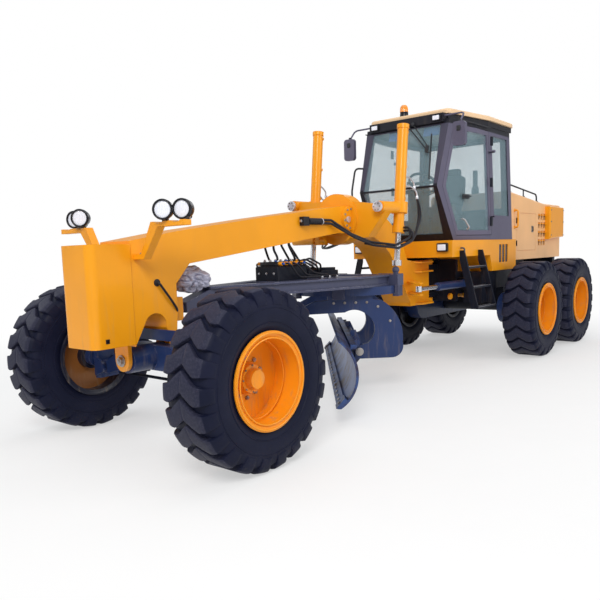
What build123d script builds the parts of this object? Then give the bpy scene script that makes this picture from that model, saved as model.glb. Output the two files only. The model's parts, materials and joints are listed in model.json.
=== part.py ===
# Motor grader, full size, in millimetres. The front faces -Y, +X is the machine's left, +Z is up.
# The origin is on the ground, at the middle of the overall length and width.
import os
from math import cos, radians, sin

from build123d import *

os.makedirs("parts", exist_ok=True)

# Wheels and where they stand
TYRE_R = 670
TYRE_W = 445
TREAD_W = 410
TYRE_BORE = 332.5
LUGS = 22
LUG_W = 130
LUG_H = 34
LUG_TURN = 32
RIM_R = 332
RIM_W = 416
FLANGE_R = 364
RIM_WALL = 14
DISC_X = -60
DISC_T = 16
HUB_R = 120
HUB_IN = 140
HUB_OUT = 20
CAP_R = 82
CAP_OUT = 75
SPINDLE_R = 45
RUN_FIT = 0.1
FRONT_TRACK = 2220
REAR_TRACK = 2205
WHEELBASE = 6520
TANDEM_PITCH = 1538
FRONT_Y = -3850
REAR_Y = FRONT_Y + WHEELBASE
GAP = 5
SIDES = (("left", 1), ("right", -1))

# Front frame
BEAM_HALF = 200
HINGE_Y = FRONT_Y + 4520
HINGE_LOW = 835
HINGE_HIGH = 1410
HINGE_PIN_R = 45
EAR_T = 60
NOSE_FRONT = FRONT_Y - 700
NOSE_REAR = FRONT_Y - 335
NOSE_HALF = 205
NOSE_LOW = 900
NOSE_HIGH = 1680
AXLE_PIN_Z = 754
AXLE_PIN_R = 45

# Cylinders beside the hinge
CYL_X = 500
CYL_FRONT = FRONT_Y + 3560
CYL_REAR = FRONT_Y + 4840
CYL_Z = 1080
CYL_R = 52
CYL_L = 780
CYL_ROD_R = 28
CYL_EYE_R = 40
CYL_PIN_R = 20
LUG_GAP = 60
LUG_T = 20

# Front axle
LEAN_X = 700
LEAN_Z = 600
LEAN_BAR_Z = 940
LEAN_PIN_R = 25
KING_X = 850
YOKE_X = 766
YOKE_T = 24
KING_R = 30
KING_LOW = 515
KING_HIGH = 825
ARM_Y = FRONT_Y + 160
ARM_EYE_R = 28
ARM_H = 32
ARM_LOW = KING_LOW - 6 - ARM_H

# Blade gear
BALL_Y = FRONT_Y + 240
BALL_Z = 1130
BALL_R = 70
CIRCLE_Y = FRONT_Y + 2760
CIRCLE_R = 620
CIRCLE_BORE = 520
CIRCLE_LOW = 1085
CIRCLE_H = 90
CIRCLE_TURN = -50.5
RAIL_H = 120
RAIL_LOW = CIRCLE_LOW + CIRCLE_H + RUN_FIT
RAIL_HIGH = RAIL_LOW + RAIL_H
ARM_X = 500
ARM_T = 70
BLADE_L = 3660
BLADE_LOW = 160
BLADE_H = 610
BLADE_FRONT = -215
BLADE_DEPTH = 190
BLADE_T = 25
LIFT_X = 600
LIFT_Y = FRONT_Y + 2870
LIFT_Z = 1345
LIFT_BALL_R = 40

# Rear frame and body
RAIL_IN = 300
RAIL_W = 100
FRAME_LOW = 930
FRAME_HIGH = 1230
FRAME_FRONT = HINGE_Y + 230
FRAME_REAR = FRONT_Y + 8150
HOOD_FRONT = FRONT_Y + 6020
HOOD_REAR = FRONT_Y + 8240
HOOD_HALF = 650
HOOD_LOW = 1350
HOOD_HIGH_F = 2370
HOOD_HIGH_R = 2235
HOOD_WALL = 30
ENGINE_H = HOOD_HIGH_R - FRAME_HIGH - 185
EXHAUST_X = -220
EXHAUST_Y = HOOD_FRONT + 700
EXHAUST_R = 60
BASE_FRONT = FRONT_Y + 3970
BASE_REAR = HOOD_FRONT - GAP
BASE_HALF = 740
BASE_LOW = 1450
CAB_LOW = 1660
CAB_HIGH = 3170
CAB_WALL = 45
CAB_REAR = FRONT_Y + 5860


def save(piece, name):
    piece.part.label = name
    export_step(piece.part, f"parts/{name}.step")


def place(local, name, spots):
    with BuildPart() as piece:
        with Locations(*spots):
            add(local.part)
    save(piece, name)
    return piece


def outline(points, mode=Mode.ADD):
    Polygon(*points, align=None, mode=mode)


def tube(points, radius, bend):
    """A round bar or hose along straight stretches joined by tangent arcs."""
    route = FilletPolyline(*points, radius=bend)
    return sweep(Plane(route @ 0, z_dir=route % 0) * Circle(radius), path=route)


# Wheel, turned about X at the origin, its dish on the +X side
BEAD = RIM_W / 2 - 22
CARCASS_R = TYRE_R - LUG_H
# One side of the tyre's section from bead to crown, as (x, radius)
SIDEWALL = (
    (BEAD, TYRE_BORE),
    (BEAD, 385),
    (TYRE_W / 2 - 8, 450),
    (TYRE_W / 2, 520),
    (TYRE_W / 2 - 18, 600),
    (TREAD_W / 2 - 60, CARCASS_R),
)


def tyre_lug():
    """One slanted bar from the tread's middle down over the +X shoulder."""
    along, across = cos(radians(LUG_TURN)), sin(radians(LUG_TURN))
    flank = Plane(
        origin=(0, LUG_W / 2 / along, 0), x_dir=(along, -across, 0), z_dir=(-across, -along, 0)
    )
    with BuildPart() as lug:
        with BuildSketch(flank):
            outline(
                [
                    (0, CARCASS_R - 40),
                    (0, TYRE_R + 8),
                    (150 / along, TYRE_R + 8),
                    (TREAD_W / 2 / along, TYRE_R - 25),
                    ((TYRE_W / 2 + 1) / along, TYRE_R - 90),
                    (170 / along, TYRE_R - 110),
                ]
            )
        extrude(amount=LUG_W)
        split(bisect_by=Plane.YZ, keep=Keep.TOP)
        with BuildSketch(Plane.YZ):
            Circle(TYRE_R)
        extrude(amount=TYRE_W / 2, both=True, mode=Mode.INTERSECT)
    return lug.part


lug = tyre_lug()
far_lug = mirror(lug, about=Plane.YZ)
LUG_STEP = 360 / LUGS
with BuildPart() as tyre:
    with BuildSketch(Plane.XZ):
        outline(list(SIDEWALL) + [(-x, r) for x, r in reversed(SIDEWALL)])
    revolve(axis=Axis.X)
    add(
        [lug.rotate(Axis.X, n * LUG_STEP) for n in range(LUGS)]
        + [far_lug.rotate(Axis.X, (n + 0.5) * LUG_STEP) for n in range(LUGS)]
    )

with BuildPart() as rim:
    with BuildSketch(Plane.XZ):
        outline(
            [
                (-HUB_IN, SPINDLE_R + RUN_FIT),
                (-HUB_IN, HUB_R),
                (DISC_X - DISC_T / 2, HUB_R),
                (DISC_X - DISC_T / 2, RIM_R - RIM_WALL),
                (-RIM_W / 2 + 12, RIM_R - RIM_WALL),
                (-RIM_W / 2, FLANGE_R - 12),
                (-RIM_W / 2, FLANGE_R),
                (-RIM_W / 2 + 12, FLANGE_R),
                (-RIM_W / 2 + 20, RIM_R),
                (RIM_W / 2 - 20, RIM_R),
                (RIM_W / 2 - 12, FLANGE_R),
                (RIM_W / 2, FLANGE_R),
                (RIM_W / 2, FLANGE_R - 12),
                (RIM_W / 2 - 12, RIM_R - RIM_WALL),
                (DISC_X + DISC_T / 2, RIM_R - RIM_WALL),
                (DISC_X + DISC_T / 2, HUB_R),
                (HUB_OUT, HUB_R - 15),
                (HUB_OUT, CAP_R),
                (CAP_OUT, CAP_R - 12),
                (CAP_OUT, 0),
                (HUB_OUT - 20, 0),
                (HUB_OUT - 20, SPINDLE_R + RUN_FIT),
            ]
        )
    revolve(axis=Axis.X)

# Name, sign of the side, x of the wheel's middle, y
WHEELS = [
    (f"{row}_{side}", sign, sign * track / 2, y)
    for side, sign in SIDES
    for row, track, y in (
        ("front", FRONT_TRACK, FRONT_Y),
        ("middle", REAR_TRACK, REAR_Y - TANDEM_PITCH / 2),
        ("rear", REAR_TRACK, REAR_Y + TANDEM_PITCH / 2),
    )
]
for name, sign, x, y in WHEELS:
    place(tyre, f"tyre_{name}", [Location((x, y, TYRE_R))])
    place(rim, f"rim_{name}", [Location((x, y, TYRE_R), (0, 0, 0 if sign > 0 else 180))])

# Front frame: nose box, gooseneck with the arch over the axle, saddle and lift cylinders
with BuildPart() as nose:
    with BuildSketch(Plane.XY.offset(NOSE_LOW)):
        with Locations((0, (NOSE_FRONT + NOSE_REAR) / 2)):
            Rectangle(2 * NOSE_HALF, NOSE_REAR - NOSE_FRONT)
    extrude(amount=NOSE_HIGH - NOSE_LOW)
    fillet(nose.edges().filter_by(Axis.Z).group_by(Axis.Y)[0], 70)
save(nose, "nose")

LEG_FRONT = FRONT_Y + 3870
LEG_REAR = HINGE_Y - 160
LEG_PLATE_Z = 1260
LEG_PLATE_W = 70
DRUM_Z = 1925
BOSS_Y = FRONT_Y + 2540
BOSS_R = 130
BOSS_OUT = 30
with BuildPart() as gooseneck:
    with BuildSketch(Plane.YZ):
        with BuildLine():
            Polyline(
                (FRONT_Y - 26, 1000),
                (FRONT_Y, 930),
                (FRONT_Y + 75, 930),
                (FRONT_Y + 95, 1131),
                (FRONT_Y + 95, 1350),
                (FRONT_Y + 246, 1511),
                (FRONT_Y + 2360, 1768),
                (FRONT_Y + 2880, 1745),
            )
            ThreePointArc(
                (FRONT_Y + 2880, 1745), (FRONT_Y + 3230, 1640), (FRONT_Y + 3480, 1420)
            )
            Polyline(
                (FRONT_Y + 3480, 1420),
                (LEG_FRONT, 880),
                (LEG_FRONT, HINGE_LOW),
                (LEG_REAR, HINGE_LOW),
                (LEG_REAR, HINGE_HIGH),
                (FRONT_Y + 3940, HINGE_HIGH),
                (FRONT_Y + 3800, 1430),
                (FRONT_Y + 3690, 1640),
            )
            ThreePointArc(
                (FRONT_Y + 3690, 1640), (FRONT_Y + 3290, 1960), (FRONT_Y + 2700, 2075)
            )
            Polyline(
                (FRONT_Y + 2700, 2075),
                (FRONT_Y + 2418, 2057),
                (FRONT_Y + 1191, 1915),
                (FRONT_Y + 130, 1780),
                (NOSE_REAR, 1705),
                (NOSE_REAR, 883),
                (FRONT_Y - 232, 1060),
            )
            ThreePointArc(
                (FRONT_Y - 232, 1060), (FRONT_Y - 127, 1127), (FRONT_Y - 26, 1000)
            )
        make_face()
    extrude(amount=BEAM_HALF, both=True)
    # Front and rear ears of the axle's pivot pin
    with BuildSketch(Plane.XZ.offset(-(FRONT_Y - 300))):
        with Locations((0, AXLE_PIN_Z)):
            Circle(90)
        with Locations((0, (AXLE_PIN_Z + 940) / 2)):
            Rectangle(180, 940 - AXLE_PIN_Z)
    extrude(amount=35)
    with BuildSketch(Plane.XZ.offset(-(FRONT_Y + 110))):
        with Locations((0, AXLE_PIN_Z)):
            Circle(90)
        with Locations((0, (AXLE_PIN_Z + 940) / 2)):
            Rectangle(180, 940 - AXLE_PIN_Z)
    extrude(amount=35)
    with BuildSketch(Plane.XZ.offset(-(FRONT_Y + 110))):
        with Locations((0, AXLE_PIN_Z)):
            Circle(AXLE_PIN_R)
    extrude(amount=445)
    # Socket of the drawbar's ball, behind the web
    with BuildSketch(Plane.XZ.offset(-(BALL_Y - 5))):
        with Locations((0, BALL_Z)):
            Rectangle(200, 200)
    extrude(amount=BALL_Y - FRONT_Y - 90)
    with Locations((0, BALL_Y, BALL_Z)):
        Sphere(BALL_R + RUN_FIT, mode=Mode.SUBTRACT)
    # Hinge ears, above and below those of the rear frame, and the pin through all four
    for low in (HINGE_LOW, HINGE_HIGH - EAR_T):
        with BuildSketch(Plane.XY.offset(low)):
            with Locations((0, HINGE_Y)):
                Circle(150)
            with Locations((0, (HINGE_Y + LEG_REAR) / 2)):
                Rectangle(300, HINGE_Y - LEG_REAR + 20)
        extrude(amount=EAR_T)
    with BuildSketch(Plane.XY.offset(HINGE_LOW)):
        with Locations((0, HINGE_Y)):
            Circle(HINGE_PIN_R)
    extrude(amount=HINGE_HIGH - HINGE_LOW)
    for side, sign in SIDES:
        # Boss on the beam's side with its lock pin, and the leg's stiffening plates
        with BuildSketch(Plane.YZ.offset(sign * BEAM_HALF)):
            with Locations((BOSS_Y, DRUM_Z)):
                Circle(BOSS_R)
        extrude(amount=sign * BOSS_OUT)
        with BuildSketch(Plane.YZ.offset(sign * BEAM_HALF)):
            with Locations((BOSS_Y + 70, DRUM_Z)):
                Circle(28)
        extrude(amount=sign * 2 * BOSS_OUT)
        for low in (HINGE_LOW + 5, LEG_PLATE_Z, HINGE_HIGH - LUG_T - 10):
            with BuildSketch(Plane.XY.offset(low)):
                outline(
                    [
                        (sign * (BEAM_HALF - 20), LEG_FRONT + 100),
                        (sign * (BEAM_HALF + LEG_PLATE_W), LEG_FRONT + 180),
                        (sign * (BEAM_HALF + LEG_PLATE_W), LEG_REAR),
                        (sign * (BEAM_HALF - 20), LEG_REAR),
                    ]
                )
            extrude(amount=LUG_T)
        for low in (CYL_Z - LUG_GAP - LUG_T, CYL_Z + LUG_GAP):
            with BuildSketch(Plane.XY.offset(low)):
                outline(
                    [
                        (sign * (BEAM_HALF - 20), LEG_FRONT - 40),
                        (sign * (BEAM_HALF - 20), LEG_FRONT + 120),
                        (sign * (CYL_X + 45), CYL_FRONT + 20),
                        (sign * (CYL_X + 45), CYL_FRONT - 45),
                        (sign * (CYL_X - 45), CYL_FRONT - 45),
                    ]
                )
            extrude(amount=LUG_T)
save(gooseneck, "gooseneck")

# Side, x sign, height of the yoke: the saddle stands a little higher on the right
YOKES = (("left", 1, 2030), ("right", -1, 2115))
SADDLE_Y = FRONT_Y + 2575
SADDLE_T = 180
DRUM_R = 285
YOKE_R = 62
YOKE_REAR = FRONT_Y + 2890
RING_R = 92
RING_H = 120
BARREL_R = 60
BARREL_UP = 920
BARREL_DOWN = 280
BARREL_Y = FRONT_Y + 2965
LIFT_TILT = 6.5
ROD_R = 32
CAP_T = 24
SHIFT_Y = FRONT_Y + 2450
SHIFT_Z = 1690
SHIFT_R = 40
# Distances from the middle to the shift cylinder's far end, its gland and its rod's end
SADDLE_SHIFT = (520, 210, 60)
with BuildPart() as saddle:
    with BuildSketch(Plane.XZ.offset(-(SADDLE_Y + SADDLE_T))):
        with Locations((0, DRUM_Z)):
            Circle(DRUM_R)
    extrude(amount=SADDLE_T)
    for side, sign, z in YOKES:
        with BuildSketch(Plane.XZ.offset(-(SADDLE_Y + SADDLE_T - 20))):
            outline(
                [
                    (sign * 60, DRUM_Z - 215),
                    (sign * 420, DRUM_Z - 215),
                    (sign * (LIFT_X + 50), z - 40),
                    (sign * (LIFT_X + 40), z + 50),
                    (sign * (LIFT_X - 90), z + 40),
                    (sign * 150, DRUM_Z + 200),
                ]
            )
        extrude(amount=SADDLE_T - 40)
        with BuildSketch(Plane.XZ.offset(-YOKE_REAR)):
            with Locations((sign * LIFT_X, z)):
                Circle(YOKE_R)
        extrude(amount=YOKE_REAR - SADDLE_Y + 20)
        with BuildSketch(Plane.XZ.offset(-(SADDLE_Y - 20))):
            with Locations((sign * LIFT_X, z)):
                Circle(YOKE_R - 14)
        extrude(amount=CAP_T)
        ring = Plane(
            origin=(sign * LIFT_X, BARREL_Y, z),
            x_dir=(1, 0, 0),
            z_dir=(0, sin(radians(LIFT_TILT)), cos(radians(LIFT_TILT))),
        )
        with BuildSketch(ring.offset(-RING_H / 2)):
            Circle(RING_R)
        extrude(amount=RING_H)
        with BuildSketch(ring.offset(-RING_H)):
            Circle(BARREL_R + RUN_FIT)
        extrude(amount=2 * RING_H, mode=Mode.SUBTRACT)
    # The cylinder that shifts the circle sideways, along X on a bracket of the drum
    with BuildSketch(Plane.YZ.offset(-SADDLE_SHIFT[0])):
        with Locations((SHIFT_Y, SHIFT_Z)):
            Circle(SHIFT_R)
    extrude(amount=SADDLE_SHIFT[0] - SADDLE_SHIFT[1])
    with BuildSketch(Plane.YZ.offset(-SADDLE_SHIFT[1])):
        with Locations((SHIFT_Y, SHIFT_Z)):
            Circle(SHIFT_R / 2)
    extrude(amount=SADDLE_SHIFT[1] - SADDLE_SHIFT[2])
    with BuildSketch(Plane.YZ.offset(-SADDLE_SHIFT[1] + 20)):
        with Locations(((SHIFT_Y + SADDLE_Y) / 2, SHIFT_Z + 5)):
            Rectangle(SADDLE_Y - SHIFT_Y + 40, 2 * SHIFT_R + 20)
    extrude(amount=60)
    add(gooseneck.part, mode=Mode.SUBTRACT)
save(saddle, "saddle")

GLAND_OUT = 8
LINE_OFF = 82
LINE_R = 11
with BuildPart() as lift_barrels:
    for side, sign, z in YOKES:
        top = Plane(
            origin=(sign * LIFT_X, BARREL_Y, z),
            x_dir=(1, 0, 0),
            z_dir=(0, sin(radians(LIFT_TILT)), cos(radians(LIFT_TILT))),
        )
        with BuildSketch(top.offset(-BARREL_DOWN)):
            Circle(BARREL_R)
        extrude(amount=BARREL_DOWN + BARREL_UP)
        for low, height in ((-BARREL_DOWN, 80), (BARREL_UP - 45, 45)):
            with BuildSketch(top.offset(low)):
                Circle(BARREL_R + GLAND_OUT)
            extrude(amount=height)
        with BuildSketch(top.offset(RING_H / 2 + 40)):
            with Locations((0, LINE_OFF)):
                Circle(LINE_R)
        extrude(amount=BARREL_UP - RING_H / 2 - 90)
        for low in (RING_H / 2 + 40, BARREL_UP / 2, BARREL_UP - 80):
            with BuildSketch(top.offset(low)):
                with Locations((0, LINE_OFF / 2 + LINE_R / 2)):
                    Rectangle(40, LINE_OFF + LINE_R)
            extrude(amount=30)
        with BuildSketch(top.offset(-BARREL_DOWN - 1)):
            Circle(ROD_R + RUN_FIT)
        extrude(amount=BARREL_DOWN + BARREL_UP - 60, mode=Mode.SUBTRACT)
save(lift_barrels, "lift_barrels")

# Hoses, two a side: from a block on the beam's side along it, then out under the saddle to the
# lower port of the lift cylinder
HOSE_R = 13
HOSE_X = BEAM_HALF + 28
HOSE_ROWS = (("upper", 1900, 0), ("lower", 1866, 34))
MANIFOLD = (FRONT_Y + 1700, FRONT_Y + 1790)
PORT_Y = BARREL_Y - 27
hose_runs = []
for side, sign, ring_z in YOKES:
    rise = ring_z - YOKES[0][2]
    for row, hose_z, step in HOSE_ROWS:
        port = ring_z - BARREL_DOWN + 58 - step
        hose = tube(
            [
                (HOSE_X, MANIFOLD[1], hose_z),
                (HOSE_X, FRONT_Y + 2190, hose_z),
                (340 + step, FRONT_Y + 2400, hose_z - 150 + rise),
                (520 + step, FRONT_Y + 2500, port - 150 + rise / 2),
                (700 + step, FRONT_Y + 2720, port - 190),
                (750 + step, PORT_Y, port - 110),
                (750 + step, PORT_Y, port),
                (LIFT_X + BARREL_R + GLAND_OUT + RUN_FIT / 2, PORT_Y, port),
            ],
            HOSE_R,
            45,
        )
        hose_runs.append(hose if sign > 0 else mirror(hose, about=Plane.YZ))
with BuildPart() as hoses:
    for side, sign in SIDES:
        with BuildSketch(Plane.YZ.offset(sign * BEAM_HALF)):
            with Locations(((MANIFOLD[0] + MANIFOLD[1]) / 2, 1883)):
                Rectangle(MANIFOLD[1] - MANIFOLD[0], 90)
        extrude(amount=sign * 56)
    add(hose_runs)
save(hoses, "hoses")

LAMP_R = 95
LAMP_Z = 1914
LAMP_XS = (530, 728)
with BuildPart() as lamp_arms:
    for side, sign in SIDES:
        with BuildSketch(Plane.XZ.offset(-(FRONT_Y - 240))):
            outline(
                [
                    (sign * 200, 1560),
                    (sign * 330, 1560),
                    (sign * 520, 1795),
                    (sign * 820, 1795),
                    (sign * 820, 1835),
                    (sign * 440, 1835),
                    (sign * 300, 1600),
                    (sign * 200, 1600),
                ]
            )
            with Locations(*[(sign * x, LAMP_Z) for x in LAMP_XS]):
                Circle(LAMP_R + RUN_FIT / 2, mode=Mode.SUBTRACT)
        extrude(amount=70)
save(lamp_arms, "lamp_arms")

LAMP_FRONT = FRONT_Y - 330
LAMP_BACK = FRONT_Y - 190
LENS_R = 82
LAMP_SPOTS = [Location((sign * x, 0, LAMP_Z)) for side, sign in SIDES for x in LAMP_XS]
with BuildPart() as bowl:
    with BuildSketch(Plane.XY):
        outline(
            [
                (0, LAMP_BACK),
                (55, LAMP_BACK),
                (LAMP_R, LAMP_BACK - 45),
                (LAMP_R, LAMP_FRONT),
                (LENS_R, LAMP_FRONT),
                (LENS_R, LAMP_FRONT + 18),
                (0, LAMP_FRONT + 18),
            ]
        )
    revolve(axis=Axis.Y)
place(bowl, "headlamps", LAMP_SPOTS)

with BuildPart() as lens:
    with BuildSketch(Plane.XY):
        outline(
            [
                (0, LAMP_FRONT + 18),
                (LENS_R, LAMP_FRONT + 18),
                (LENS_R, LAMP_FRONT + 10),
                (LENS_R / 2, LAMP_FRONT + 3),
                (0, LAMP_FRONT + 1),
            ]
        )
    revolve(axis=Axis.Y)
place(lens, "headlamp_lenses", LAMP_SPOTS)

# Front axle with the bore for the pivot pin, leaning yokes, knuckles, lean bar and tie rod
with BuildPart() as front_axle:
    with BuildSketch(Plane.XZ.offset(-(FRONT_Y + 60))):
        outline(
            [
                (-640, 660),
                (-260, 850),
                (260, 850),
                (640, 660),
                (640, 545),
                (260, 640),
                (-260, 640),
                (-640, 545),
            ]
        )
    extrude(amount=130)
    with BuildSketch(Plane.XZ.offset(-(FRONT_Y + 65))):
        for side, sign in SIDES:
            with Locations((sign * LEAN_X, LEAN_Z)):
                Circle(60)
            with Locations((sign * (LEAN_X - 50), LEAN_Z)):
                Rectangle(100, 115)
    extrude(amount=130)
    with BuildSketch(Plane.XZ.offset(-(FRONT_Y + 65))):
        with Locations((0, AXLE_PIN_Z)):
            Circle(110)
    extrude(amount=355)
    with BuildSketch(Plane.XZ.offset(-(FRONT_Y + 66))):
        with Locations((0, AXLE_PIN_Z)):
            Circle(AXLE_PIN_R + RUN_FIT)
        for side, sign in SIDES:
            with Locations((sign * LEAN_X, LEAN_Z)):
                Circle(LEAN_PIN_R + RUN_FIT)
    extrude(amount=400, mode=Mode.SUBTRACT)
save(front_axle, "front_axle")

with BuildPart() as lean_yoke:
    for y in (FRONT_Y + 100, FRONT_Y - 72):
        with BuildSketch(Plane.XZ.offset(-y)):
            with Locations((LEAN_X, LEAN_Z)):
                Circle(52)
            outline(
                [
                    (LEAN_X, LEAN_Z - 52),
                    (YOKE_X + YOKE_T, KING_LOW),
                    (YOKE_X + YOKE_T, 700),
                    (LEAN_X, LEAN_Z + 52),
                ]
            )
        extrude(amount=28)
    with BuildSketch(Plane.XZ.offset(-(FRONT_Y + 100))):
        with Locations((LEAN_X, LEAN_Z)):
            Circle(LEAN_PIN_R)
    extrude(amount=200)
    with BuildSketch(Plane.XZ.offset(-(FRONT_Y + 100))):
        with Locations((YOKE_X + YOKE_T / 2, (KING_LOW + KING_HIGH) / 2)):
            Rectangle(YOKE_T, KING_HIGH - KING_LOW)
    extrude(amount=200)
    for low in (KING_LOW, KING_HIGH - 40):
        with BuildSketch(Plane.XY.offset(low)):
            with Locations((KING_X, FRONT_Y)):
                Circle(55)
            with Locations(((KING_X + YOKE_X) / 2, FRONT_Y)):
                Rectangle(KING_X - YOKE_X, 110)
        extrude(amount=40)
    with BuildSketch(Plane.XY.offset(KING_LOW - 1)):
        with Locations((KING_X, FRONT_Y)):
            Circle(KING_R + RUN_FIT)
    extrude(amount=KING_HIGH - KING_LOW + 2, mode=Mode.SUBTRACT)
    with BuildSketch(Plane.XZ.offset(-(FRONT_Y + 35))):
        outline(
            [
                (YOKE_X, 760),
                (YOKE_X + YOKE_T, 760),
                (YOKE_X + YOKE_T, KING_HIGH),
                (LEAN_X + 42, LEAN_BAR_Z + 20),
                (LEAN_X, LEAN_BAR_Z + 42),
                (LEAN_X - 42, LEAN_BAR_Z),
                (LEAN_X, LEAN_BAR_Z - 42),
            ]
        )
    extrude(amount=70)
    with BuildSketch(Plane.XZ.offset(-(FRONT_Y - 30))):
        with Locations((LEAN_X, LEAN_BAR_Z)):
            Circle(16)
    extrude(amount=45)
save(lean_yoke, "lean_yoke_left")
with BuildPart() as lean_yoke_right:
    mirror(lean_yoke.part, about=Plane.YZ)
save(lean_yoke_right, "lean_yoke_right")

with BuildPart() as lean_bar:
    with BuildSketch(Plane.XZ.offset(-(FRONT_Y - 42))):
        with Locations((0, LEAN_BAR_Z)):
            SlotOverall(2 * LEAN_X + 110, 90)
        for side, sign in SIDES:
            with Locations((sign * LEAN_X, LEAN_BAR_Z)):
                SlotOverall(67, 33.6, rotation=90, mode=Mode.SUBTRACT)
    extrude(amount=24)
save(lean_bar, "lean_bar")

with BuildPart() as knuckle:
    with BuildSketch(Plane.XY.offset(KING_LOW + 45)):
        with Locations((KING_X, FRONT_Y)):
            Circle(52)
    extrude(amount=KING_HIGH - KING_LOW - 90)
    with BuildSketch(Plane.YZ.offset(KING_X)):
        with Locations((FRONT_Y, TYRE_R)):
            Circle(SPINDLE_R)
    extrude(amount=FRONT_TRACK / 2 - KING_X - 10)
    with BuildSketch(Plane.YZ.offset(KING_X + 40)):
        with Locations((FRONT_Y, TYRE_R)):
            Circle(90)
    extrude(amount=FRONT_TRACK / 2 - HUB_IN - KING_X - 45)
    with BuildSketch(Plane.XY.offset(ARM_LOW)):
        with Locations((KING_X, FRONT_Y)):
            Circle(48)
        outline(
            [
                (KING_X - 42, FRONT_Y + 20),
                (KING_X + 42, FRONT_Y + 20),
                (KING_X + ARM_EYE_R, ARM_Y),
                (KING_X - ARM_EYE_R, ARM_Y),
            ]
        )
        with Locations((KING_X, ARM_Y)):
            Circle(ARM_EYE_R)
    extrude(amount=ARM_H)
    with BuildSketch(Plane.XY.offset(ARM_LOW)):
        with Locations((KING_X, FRONT_Y)):
            Circle(KING_R)
    extrude(amount=KING_HIGH - ARM_LOW)
save(knuckle, "knuckle_left")
with BuildPart() as knuckle_right:
    mirror(knuckle.part, about=Plane.YZ)
save(knuckle_right, "knuckle_right")

# The tie rod's ball ends touch the arms' eyes from behind, so that leaning and steering clear them
TIE_BALL_R = 18
TIE_Y = ARM_Y + ARM_EYE_R + RUN_FIT + TIE_BALL_R
TIE_Z = ARM_LOW + ARM_H / 2
with BuildPart() as tie_rod:
    with BuildSketch(Plane.YZ.offset(-KING_X)):
        with Locations((TIE_Y, TIE_Z)):
            Circle(TIE_BALL_R - 4)
    extrude(amount=2 * KING_X)
    with Locations((KING_X, TIE_Y, TIE_Z), (-KING_X, TIE_Y, TIE_Z)):
        Sphere(TIE_BALL_R)
save(tie_rod, "tie_rod")

# Drawbar: an A-frame of flanged box section over the circle, its ball in the nose
FLANGE_T = 20
FLANGE_OUT = 30
PINION_Y = CIRCLE_Y - 381
PINION_SHAFT_R = 45
VALVE_FRONT = FRONT_Y + 1400
VALVE_REAR = FRONT_Y + 1850
VALVE_H = 150
# Places of the shoes that hold the circle, as angles about its middle
SHOE_TURNS = (9.8, 170.2, -62.2, -117.8)
SHOE_W = 130
SHOE_IN = 597
SHOE_OUT = 665
SHOE_LOW = CIRCLE_LOW - 30


def drawbar_plan(inset):
    outline(
        [
            (-85, BALL_Y + 330),
            (85, BALL_Y + 330),
            (560, CIRCLE_Y - 420),
            (560, CIRCLE_Y + 330),
            (-560, CIRCLE_Y + 330),
            (-560, CIRCLE_Y - 420),
        ]
    )
    outline(
        [(0, BALL_Y + 620), (150, VALVE_FRONT - 20), (-150, VALVE_FRONT - 20)], Mode.SUBTRACT
    )
    with Locations((0, CIRCLE_Y)):
        Circle(400, mode=Mode.SUBTRACT)
    if inset:
        offset(amount=-inset, kind=Kind.INTERSECTION)


with BuildPart() as drawbar:
    for low, height, inset in (
        (RAIL_LOW, FLANGE_T, 0),
        (RAIL_LOW + FLANGE_T, RAIL_H - 2 * FLANGE_T, FLANGE_OUT),
        (RAIL_HIGH - FLANGE_T, FLANGE_T, 0),
    ):
        with BuildSketch(Plane.XY.offset(low)):
            drawbar_plan(inset)
        extrude(amount=height)
    # Neck to the ball, cross bar with the lift cylinders' balls, seat of the pinion's shaft
    with BuildSketch(Plane.YZ):
        outline(
            [
                (BALL_Y + 60, BALL_Z - 45),
                (BALL_Y + 420, RAIL_LOW),
                (BALL_Y + 420, RAIL_HIGH),
                (BALL_Y + 60, BALL_Z + 45),
            ]
        )
    extrude(amount=70, both=True)
    with BuildSketch(Plane.XZ.offset(-(LIFT_Y + 60))):
        with Locations((0, (RAIL_HIGH + RAIL_LOW) / 2)):
            Rectangle(2 * LIFT_X + 120, RAIL_H)
    extrude(amount=120)
    with BuildSketch(Plane.XY.offset(RAIL_LOW)):
        with Locations((0, PINION_Y - 50)):
            Rectangle(320, 260)
    extrude(amount=RAIL_H)
    with BuildSketch(Plane.XY.offset(RAIL_LOW - 1)):
        with Locations((0, PINION_Y)):
            Circle(PINION_SHAFT_R + RUN_FIT)
    extrude(amount=RAIL_H + 2, mode=Mode.SUBTRACT)
    with BuildSketch(Plane.XY.offset(RAIL_HIGH)):
        for side, sign in SIDES:
            with Locations((sign * LIFT_X, LIFT_Y)):
                Circle(30)
    extrude(amount=LIFT_Z - RAIL_HIGH)
    with Locations(*[(sign * LIFT_X, LIFT_Y, LIFT_Z) for side, sign in SIDES]):
        Sphere(LIFT_BALL_R)
    with Locations((0, BALL_Y, BALL_Z)):
        Sphere(BALL_R)
    # Shoes beside the circle, each with a lip under it, as the inner reach and the top of both
    for reach, high in ((CIRCLE_R + 2, RAIL_LOW), (SHOE_IN, CIRCLE_LOW - 3 * RUN_FIT)):
        with BuildSketch(Plane.XY.offset(SHOE_LOW)):
            with Locations((0, CIRCLE_Y)):
                for turn in SHOE_TURNS:
                    with Locations(Location((0, 0, 0), turn)):
                        with Locations(((reach + SHOE_OUT) / 2, 0)):
                            Rectangle(SHOE_OUT - reach, SHOE_W)
        extrude(amount=high - SHOE_LOW)
save(drawbar, "drawbar")

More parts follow.
